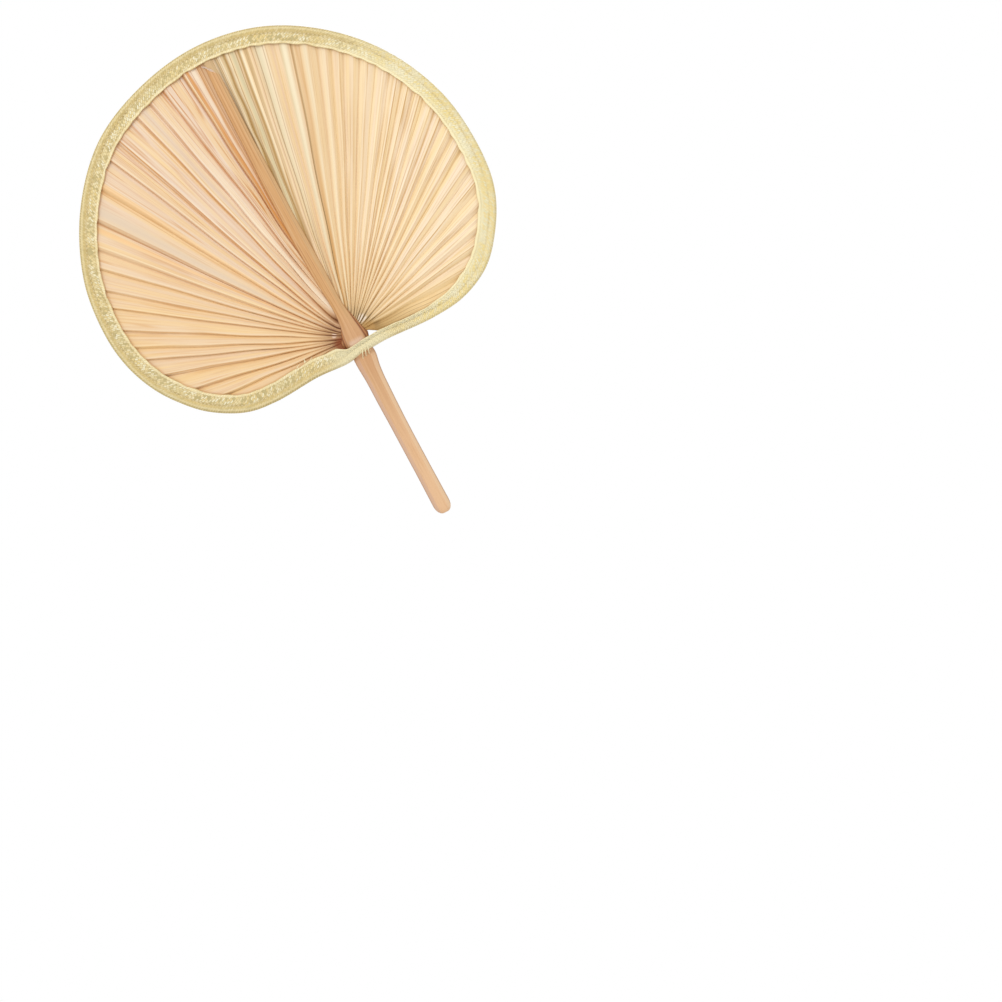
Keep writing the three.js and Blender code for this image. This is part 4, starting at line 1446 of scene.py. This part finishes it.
# %% [markdown]
# ## The braid's finish
# Plaited straw glints: some cells catch the light as silvery cream, their neighbours lie in grey-green
# shade. These glints and this shade are painted, and the right of the braid is painted lighter, as if
# more strongly lit. The turned edge is denser and more olive, the selvedge is a plain pale yellow cord.
# All of it is drawn in the tape's own coordinates, so the pattern follows the rim.

# %% The plait in the braid's finish
PLAIT_PITCHES = (0.0021, 0.003)
PLAIT_LOOSENESS = 0.0032
HATCH_PITCH = 0.0003
FIELD_BEGINS = (0.0052, 0.0064)


class BraidFinish(Finish):
    """The braid's finish, with what it reads along and across the tape."""

    def __init__(self):
        super().__init__("plaited_straw", 0.6, 0.4, (246, 226, 168))
        self.along, inset = self.uv("tape")
        self.inset = inset - inset.above(BACK_SHIFT * 0.6) * BACK_SHIFT
        self.spot = self.place()
        self.rightwards, _, upwards = self.split(self.spot)
        # A mask of painted light: the right and lower right of the braid are painted lighter, as if more
        # strongly lit, and its painted shade is weaker there.
        self.lit_right = (self.rightwards - (upwards - HUB) * 0.35).ramp(-0.01, 0.07)
        self.dim = 1.0 - self.lit_right * 0.85
        self.field = self.inset.ramp(*FIELD_BEGINS)
        self.cluster = self.cloud(self.along * 75.0, self.inset * 150.0).ramp(0.38, 0.6, 0.35, 1.2)
        self.hatch = ((self.along + self.inset * 0.5) / HATCH_PITCH).wave().ramp(-0.5, 0.9)
        self.plait()

    def plait(self):
        """Two sets of straws that cross, each over the other by turns."""
        loose = self.cloud(self.along * 110.0, self.inset * 200.0) * PLAIT_LOOSENESS
        one = (self.along + self.inset * 1.1 + loose) / PLAIT_PITCHES[0]
        two = (self.along - self.inset * 0.6 - loose) / PLAIT_PITCHES[1]
        self.over = ((one.floor() + two.floor()) / 2.0).part().above(0.25)
        under = 1.0 - self.over
        side = self.over * one.part() + under * two.part() - 0.5
        self.cell = self.dice(one.floor(), two.floor(), 1.0)
        self.strand = self.dice(self.over * one.floor() + under * two.floor(), self.over, 2.0)
        self.crown = side.size().fade(0.2, 0.5)
        self.fibre = ((self.over * one + under * two) * 19.0).wave().ramp(-0.8, 0.9)


print("a straw is", PLAIT_PITCHES[0] * 1000, "or", PLAIT_PITCHES[1] * 1000, "mm wide")

# %% Straw by straw


def lay_straws(tape):
    """Pale and golden straws, painted lighter on the right as if more strongly lit, with painted glints on
    their crowns.
    """
    lit_right, dim, cell, crown = tape.lit_right, tape.dim, tape.cell, tape.crown
    slow = tape.noise(tape.spot, 40.0)
    tape.coat(tape.strand, (232, 208, 146))
    tape.coat(slow.ramp(0.52, 0.64) * 0.5, (240, 212, 134))
    tape.coat(slow.ramp(0.46, 0.34) * 0.4, (222, 210, 160))
    # Painted light on the right, with golden cells there.
    tape.coat(lit_right * 0.9, (255, 246, 208))
    tape.coat(lit_right * (cell * 0.6 + slow).ramp(0.66, 0.86) * 0.75, (250, 224, 140))
    # Painted glints on the straws' crowns.
    glint = (tape.over * 0.3 + cell * 0.7).ramp(0.35, 0.9) * crown * tape.cluster
    tape.coat((glint * (tape.field * 0.4 + 0.6)).least(0.85), (255, 249, 220))
    # Painted shade between the crowns and in some cells, less on the lit right.
    tape.coat((1.0 - crown) * 0.6 * dim, (204, 176, 112))
    tape.coat(cell.ramp(0.36, 0.1) * 0.85 * dim, (200, 182, 128))
    tape.coat(tape.fibre * 0.15, (216, 190, 126))


print("straws can be laid")

# %% Turned edge and sewing valleys
# Where a line lies in from the rim, and how far it reaches to both sides.
ROLL_HIGHLIGHT = (0.0021, 0.0012)
ROLL_OCHRE = (0.0039, 0.001)
OUTER_VALLEY = (0.0055, 0.0011)
INNER_VALLEY = (0.0115, 0.0009)
EDGE_SPAN = (0.0006, 0.002)


def turn_edge(tape):
    """The roll over the hoop: hatched, darker to the rim with painted shade, a painted highlight and an
    ochre band.
    """
    dim, hatch, turned = tape.dim, tape.hatch, 1.0 - tape.field
    tape.coat(turned * dim * 0.45, (232, 208, 146))
    tape.coat(turned * hatch * dim * 0.24, (200, 176, 112))
    # A painted highlight on the roll over the hoop, and an ochre band below it.
    light, ochre = ((tape.inset - inset).hill(reach) * dim for inset, reach in (ROLL_HIGHLIGHT, ROLL_OCHRE))
    tape.coat(light * 0.5, (248, 232, 184))
    tape.coat(ochre * 0.4, (214, 186, 116))
    # Darker at the rim: the straw's olive edge and painted shade where the roll turns away.
    edge = tape.inset.fade(*EDGE_SPAN)
    tape.coat(edge * (hatch * 0.4 + 0.3) * (dim * 0.5 + 0.5), (186, 164, 102))


def shade_seam_valleys(tape):
    # Painted shade in the two sewing valleys, weaker on the lit right.
    seam = tape.cluster.ramp(0.35, 1.2, 0.8, 0.25)
    outer, inner = ((tape.inset - inset).hill(reach) * seam for inset, reach in (OUTER_VALLEY, INNER_VALLEY))
    tape.coat(outer * (1.0 - tape.lit_right * 0.5), (190, 162, 100))
    tape.coat(inner * 0.7, (204, 174, 108))


print("the edge and the valleys can be shaded")

# %% Braid material
SELVEDGE_BEGINS = (0.0117, 0.012)
INNER_HALF = (0.0085, 0.011)
SELVEDGE_SHADOW_SPAN = (0.0132, 0.0137)
TWIST_PITCH = 0.0021
BINDING_AT = (0.001, 0.0, HUB - 0.011)
BINDING_SPAN = (0.014, 0.034)
PLAIT_RELIEF = 0.0002


def braid_finish():
    tape = BraidFinish()
    lay_straws(tape)
    turn_edge(tape)
    shade_seam_valleys(tape)
    selvedge = tape.inset.ramp(*SELVEDGE_BEGINS)
    twist = ((tape.along + tape.inset * 0.7) / TWIST_PITCH).part()
    cord = tape.mix(twist.ramp(0.6, 1.0) * 0.4, (252, 237, 190), (232, 206, 142))
    tape.coat(selvedge * (tape.cluster * 0.3 + 0.35), cord)
    # Painted light: the inner half is paler on the lit right.
    tape.coat(tape.inset.ramp(*INNER_HALF) * tape.lit_right * 0.6, (255, 243, 198))
    # Painted shadow at the foot of the selvedge, stronger on the left.
    left = tape.rightwards.ramp(-0.06, 0.06, 0.6, 0.2)
    tape.coat(tape.inset.ramp(*SELVEDGE_SHADOW_SPAN) * left, (204, 164, 98))
    tape.coat(tape.away(tape.spot, BINDING_AT).fade(*BINDING_SPAN, 0.7), (246, 236, 194))
    height = tape.crown * (1.0 - selvedge) + twist.ramp(0.0, 0.5) * selvedge * 0.6
    height = height + tape.hatch * (1.0 - tape.field) * 0.2
    return tape.paint(tape.cell * 0.25 + 0.5, height, PLAIT_RELIEF)


braid.data.materials.append(braid_finish())
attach(braid, "root")
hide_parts("binding_braid")

# %% [markdown]
# ## Sewing thread
# Two rows of stitches hold the braid on each face: one in the valley beside the hoop, one beside the
# selvedge. One stitch is modelled from a short rod whose ends dip into the straw. It is copied at an even
# spacing round the rim, with every copy turned to the rim's direction there.

# %% One stitch
THREAD_RADIUS = 0.00022
STITCH_LENGTH = 0.0023
STITCH_DIP = 0.0005
DIP_FROM_SHARE = 0.4
DIP_THINNING_SHARE = 0.7


def pick(piece, wanted, kind="VERT"):
    """In edit mode, selects the points or edges for which wanted(points) is true."""
    bpy.ops.object.mode_set(mode="OBJECT")
    mesh = piece.data
    for group in (mesh.vertices, mesh.edges, mesh.polygons):
        group.foreach_set("select", [False] * len(group))
    for item in {"VERT": mesh.vertices, "EDGE": mesh.edges}[kind]:
        ends = [item.co] if kind == "VERT" else [mesh.vertices[k].co for k in item.vertices]
        item.select = bool(wanted(ends))
    bpy.ops.object.mode_set(mode="EDIT")
    bpy.ops.mesh.select_mode(type=kind)


def model_stitch():
    """A stitch along X whose outer side is towards -Y."""
    deselect()
    bpy.ops.mesh.primitive_cylinder_add(
        vertices=6, radius=THREAD_RADIUS, depth=STITCH_LENGTH, rotation=(0, math.pi / 2, 0)
    )
    stitch = new_piece("stitch")
    pick(stitch, lambda ends: abs(ends[0].x - ends[1].x) > STITCH_LENGTH / 2, "EDGE")
    bpy.ops.mesh.subdivide(number_cuts=3)
    pick(stitch, lambda ends: abs(ends[0].x) > STITCH_LENGTH * DIP_FROM_SHARE)
    bpy.ops.transform.translate(value=(0, STITCH_DIP, 0))
    thinner = (1, DIP_THINNING_SHARE, DIP_THINNING_SHARE)
    bpy.ops.transform.resize(value=thinner, center_override=(0, STITCH_DIP, 0))
    smooth_shaded(stitch, 60)
    print("one stitch has", len(stitch.data.polygons), "faces")
    return stitch


stitch = model_stitch()

# %% Copies of a small piece


def copies_joined(name, source, matrices):
    """One piece from copies of a small one, each set by its own matrix."""
    copies = []
    for matrix in matrices:
        copy = source.copy()
        copy.data = source.data.copy()
        copy.data.transform(matrix)
        bpy.context.scene.collection.objects.link(copy)
        copies.append(copy)
    only(copies[0])
    for copy in copies:
        copy.select_set(True)
    bpy.ops.object.join()
    copies[0].name = name
    print(name, "joined from", len(copies), "copies")
    return copies[0]


print("copies can be joined")

# %% Thread material
FINE_RELIEF = 0.0001


def grained(finish, light, dark, roughness, scale, detail=2.0, rough=0.5):
    """Paints a plain finish that has one fine grain, from light to dark."""
    grain = finish.noise(finish.place(), scale, detail, rough)
    finish.colour = finish.mix(grain, light, dark)
    return finish.paint(grain * 0.2 + roughness, grain, FINE_RELIEF)


def thread_finish():
    return grained(Finish("sewing_thread", 0.6, 0.3), (250, 238, 202), (226, 208, 158), 0.55, 1400.0)


thread = thread_finish()

# %% Rows of stitches
STITCH_SPACING = 0.0033
VALLEY_ROW = (0.0054, 0.00256)
SELVEDGE_ROW = (0.0116, 0.00262)


def stitch_places(side, inset, depth, shift):
    """Where each stitch of a row goes, as matrices: along the rim, out of the face and into the leaf."""
    count = round(RIM_LENGTH / STITCH_SPACING)
    inset, depth = np.array(inset), np.array(side * depth)
    for k in range(count):
        distance = np.array((k + shift) * RIM_LENGTH / count)
        ways = (distance, distance + STITCH_LENGTH)
        here, ahead = (Vector(braid_place(way, inset, depth)) for way in ways)
        along = (ahead - here).normalized()
        out = Vector((0, side, 0))
        inward = along.cross(out).normalized()
        turn = Matrix((along, -out, inward)).transposed()
        if turn.determinant() < 0:
            turn = Matrix((along, -out, -inward)).transposed()
        yield Matrix.Translation(here) @ turn.to_4x4()


for face, side in (("front", -1), ("back", 1)):
    for row, (inset, depth), shift in (("outer", VALLEY_ROW, 0.0), ("inner", SELVEDGE_ROW, 0.5)):
        seam = copies_joined(f"stitches_{row}_{face}", stitch, stitch_places(side, inset, depth, shift))
        seam.data.materials.append(thread)
        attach(seam, "root")
        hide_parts(f"seam_{row}_{face}")
bpy.data.objects.remove(stitch)

# %% [markdown]
# ## The strands at the neck
# A few strands of straw come out from under the braid at the neck and lie over the handle. Each is pulled
# out of a small ring, down over the edge of the braid and onto the stalk, and thinned towards its end.

# %% Strands
STRAND_RADIUS = 0.0005
STRAND_THINNING_SHARE = 0.93
# The strands' way down, as height from the rim and depth, at full length.
STRAND_WAY = [
    (0.0042, -0.00695), (0.002, -0.0072), (0, -0.007), (-0.002, -0.0062), (-0.0036, -0.0049),
    (-0.0052, -0.00435), (-0.0066, -0.00425), (-0.0076, -0.0042),
]
# Each strand's start right of the middle, its drift to the right for each metre down, and its share of
# the length.
STRANDS = {"left": (0.0012, -0.42, 0.5), "middle": (0.0034, -0.36, 0.42), "right": (0.0056, -0.3, 0.36)}


def pull_strand(name, start, lean, length_share):
    neck, top = float(rim_point(0)[1]), STRAND_WAY[0][0]
    places = [
        Vector((start + lean * (top - z) * length_share, y, neck + z * length_share)) for z, y in STRAND_WAY
    ]
    deselect()
    bpy.ops.mesh.primitive_circle_add(vertices=8, radius=STRAND_RADIUS, fill_type="NGON", location=places[0])
    strand = new_piece(name)
    edit_all(strand)
    for here, after in zip(places, places[1:]):
        pull_on(after - here, (STRAND_THINNING_SHARE, STRAND_THINNING_SHARE, 1), after)
    outward(strand)
    smooth_shaded(strand, 60)
    return strand


for which, (start, lean, length_share) in STRANDS.items():
    strand = pull_strand(f"neck_strand_{which}", start, lean, length_share)
    strand.data.materials.append(thread)
    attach(strand, "root")
    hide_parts(f"neck_stitch_{which}")
    print(strand.name, "laid over the handle")

# %% [markdown]
# ## Torn fibres at the tip
# Where the midrib thins out under the braid its bark has torn into a few pale slivers, along a slanting
# line. One sliver is a flattened, pointed rod with a curl in it. Copies of it, turned and stretched from
# one seed, make the tuft.

# %% One sliver
SLIVER_LENGTH = 0.007
SLIVER_WIDTH = 0.0011
SLIVER_FLATNESS_SHARE = 0.35
SLIVER_CURL = 0.0012


def model_sliver():
    """A sliver that stands on its root and curls to the front."""
    deselect()
    bpy.ops.mesh.primitive_cone_add(
        vertices=6, radius1=SLIVER_WIDTH / 2, radius2=SLIVER_WIDTH / 9, depth=SLIVER_LENGTH,
        location=(0, 0, SLIVER_LENGTH / 2),
    )
    sliver = new_piece("sliver")
    pick(sliver, lambda ends: abs(ends[0].z - ends[1].z) > SLIVER_LENGTH / 2, "EDGE")
    bpy.ops.mesh.subdivide(number_cuts=4)
    bpy.ops.mesh.select_all(action="SELECT")
    bpy.ops.transform.resize(value=(1, SLIVER_FLATNESS_SHARE, 1), center_override=(0, 0, 0))
    deselect()
    spots = points_of(sliver)
    spots[:, 1] -= SLIVER_CURL * (spots[:, 2] / SLIVER_LENGTH) ** 2
    place_points(sliver, spots)
    smooth_shaded(sliver, 60)
    return sliver


sliver = model_sliver()
print("one sliver has", len(sliver.data.polygons), "faces")

# %% The tuft
TUFT_COUNT = 12
TUFT_SPREAD = 0.0032
TUFT_LEFT_SHARE = 0.25
TUFT_LEAN = -0.68
LEAN_VARIATION = 0.25
ROOT_VARIATION = 0.0007
FRONT_SHARE = 0.9
FRONT_ROUNDING_SHARE = 0.35
SLIVER_SIZE_SHARES = [(0.4, 0.9), (0.3, 0.8), (0.3, 0.7)]


def tuft_places():
    rng = np.random.default_rng(3)
    height = HUB + TEAR_HEIGHT
    centre, half, front, _ = stalk_at(height)
    for k in range(TUFT_COUNT):
        x = centre - half * TUFT_LEFT_SHARE + (k / (TUFT_COUNT - 1) * 2 - 1) * TUFT_SPREAD
        share = (x - centre) / half
        surface = -front * (FRONT_SHARE - FRONT_ROUNDING_SHARE * share * share)
        root = Vector((x, surface, height - x * TEAR_SLOPE + rng.uniform(-1, 1) * ROOT_VARIATION))
        lean = Matrix.Rotation(TUFT_LEAN + rng.uniform(-LEAN_VARIATION, LEAN_VARIATION), 4, "Y")
        size = Matrix.Diagonal([rng.uniform(*shares) for shares in SLIVER_SIZE_SHARES] + [1])
        yield Matrix.Translation(root) @ lean @ size


def fibre_finish():
    return grained(Finish("torn_fibre", 0.7, 0.2), (242, 222, 206), (206, 178, 152), 0.6, 700.0)


tuft = copies_joined("midrib_torn_fibres", sliver, tuft_places())
bpy.data.objects.remove(sliver)
tuft.data.materials.append(fibre_finish())
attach(tuft, "root")

# %% [markdown]
# ## Frayed ends of straw
# Left of the neck a few straws of the braid have come loose from the selvedge. They have the sliver's
# shape, so one more sliver is modelled and copied, and only where each one stands is listed.

# %% Frayed ends
# Each one's place from the middle and above the hub, its lean in degrees, and its share of the length.
FRAYED_ENDS = [
    (-0.0414, -0.0022, 22, 0.68), (-0.0402, -0.002, -14, 0.4), (-0.037, -0.0026, 50, 0.5),
    (-0.048, -0.0026, 64, 0.5),
]
FRAY_DEPTH = 0.0029
FRAY_WIDTH_SHARE = 0.8


def fray_places():
    for x, height, lean, length_share in FRAYED_ENDS:
        turned = Matrix.Rotation(math.radians(lean), 4, "Y")
        size = Matrix.Diagonal((FRAY_WIDTH_SHARE, 1, length_share, 1))
        yield Matrix.Translation(Vector((x, -FRAY_DEPTH, HUB + height))) @ turned @ size


# The selection is by edges since the first sliver, so this one is cut along its long edges only.
sliver = model_sliver()
frayed = copies_joined("frayed_straw_ends", sliver, fray_places())
bpy.data.objects.remove(sliver)
frayed.data.materials.append(thread)
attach(frayed, "root")
print("the frayed ends have", len(frayed.data.polygons), "faces")

# %% [markdown]
# ## The hastula
# At the back the blade leaves its stalk under a small horny crest. It is guessed, because the front hides
# it. A disc is drawn into a crescent, given its thickness, and stepped up to a low ridge.

# %% Crest at the back
CREST_HALF_WIDTH = 0.0105
CREST_HEIGHT = 0.0085
CREST_THICKNESS = 0.0012
CREST_SINK = 0.0002
CREST_SHOULDER_SHARE = 0.2
CREST_ARCH_SHARE = 0.25
CREST_SAG_SHARE = 0.22
CREST_MIDDLE_SHARE = 0.45
# Each step up to the ridge: its part of the thickness, and how far it draws in.
CREST_STEP_SHARES = [(0.5, 0.96), (0.35, 0.72), (0.25, 0.5)]


def model_crest():
    back = float(stalk_at(HUB)[3])
    deselect()
    bpy.ops.mesh.primitive_circle_add(vertices=40, radius=1, fill_type="NGON", rotation=(-math.pi / 2, 0, 0))
    crest = new_piece("hastula_crest")
    across, _, up = points_of(crest).T
    arch = 1 - across**2
    raised = up * (1 - CREST_ARCH_SHARE * arch) + CREST_SHOULDER_SHARE
    rise = CREST_HEIGHT * np.where(up > 0, raised, CREST_SHOULDER_SHARE - CREST_SAG_SHARE * arch)
    behind = np.full(len(up), back - CREST_SINK)
    place_points(crest, np.stack([across * CREST_HALF_WIDTH, behind, HUB + rise], axis=1))
    edit_all(crest)
    middle = (0, back, HUB + CREST_HEIGHT * CREST_MIDDLE_SHARE)
    for step_share, share in CREST_STEP_SHARES:
        pull_on((0, CREST_THICKNESS * step_share, 0), (share, 1, share), middle)
    outward(crest)
    apply_modifier(crest, "SUBSURF", levels=1, render_levels=1)
    only(crest)
    bpy.ops.object.shade_smooth()
    return crest


crest = model_crest()
crest_spots = points_of(crest)
mark_uv(crest, "bark", crest_spots[:, 0] / CREST_HALF_WIDTH, crest_spots[:, 2])
crest.data.materials.append(stalk.data.materials[0])
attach(crest, "root")
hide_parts("hastula")
print("hastula has", len(crest.data.polygons), "faces")

# %% [markdown]
# ## The last pieces
# The two cane hoops stay as the solid model has them, because they lie inside the braid.

# %% Cane finish


def cane_finish():
    light, dark = (224, 194, 138), (198, 162, 104)
    return grained(Finish("split_cane", 0.45, 0.45), light, dark, 0.4, 900.0, 3.0, 0.7)


cane = cane_finish()
for name in ("rim_hoop_front", "rim_hoop_back"):
    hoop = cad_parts[name]
    hoop.data.materials.clear()
    hoop.data.materials.append(cane)
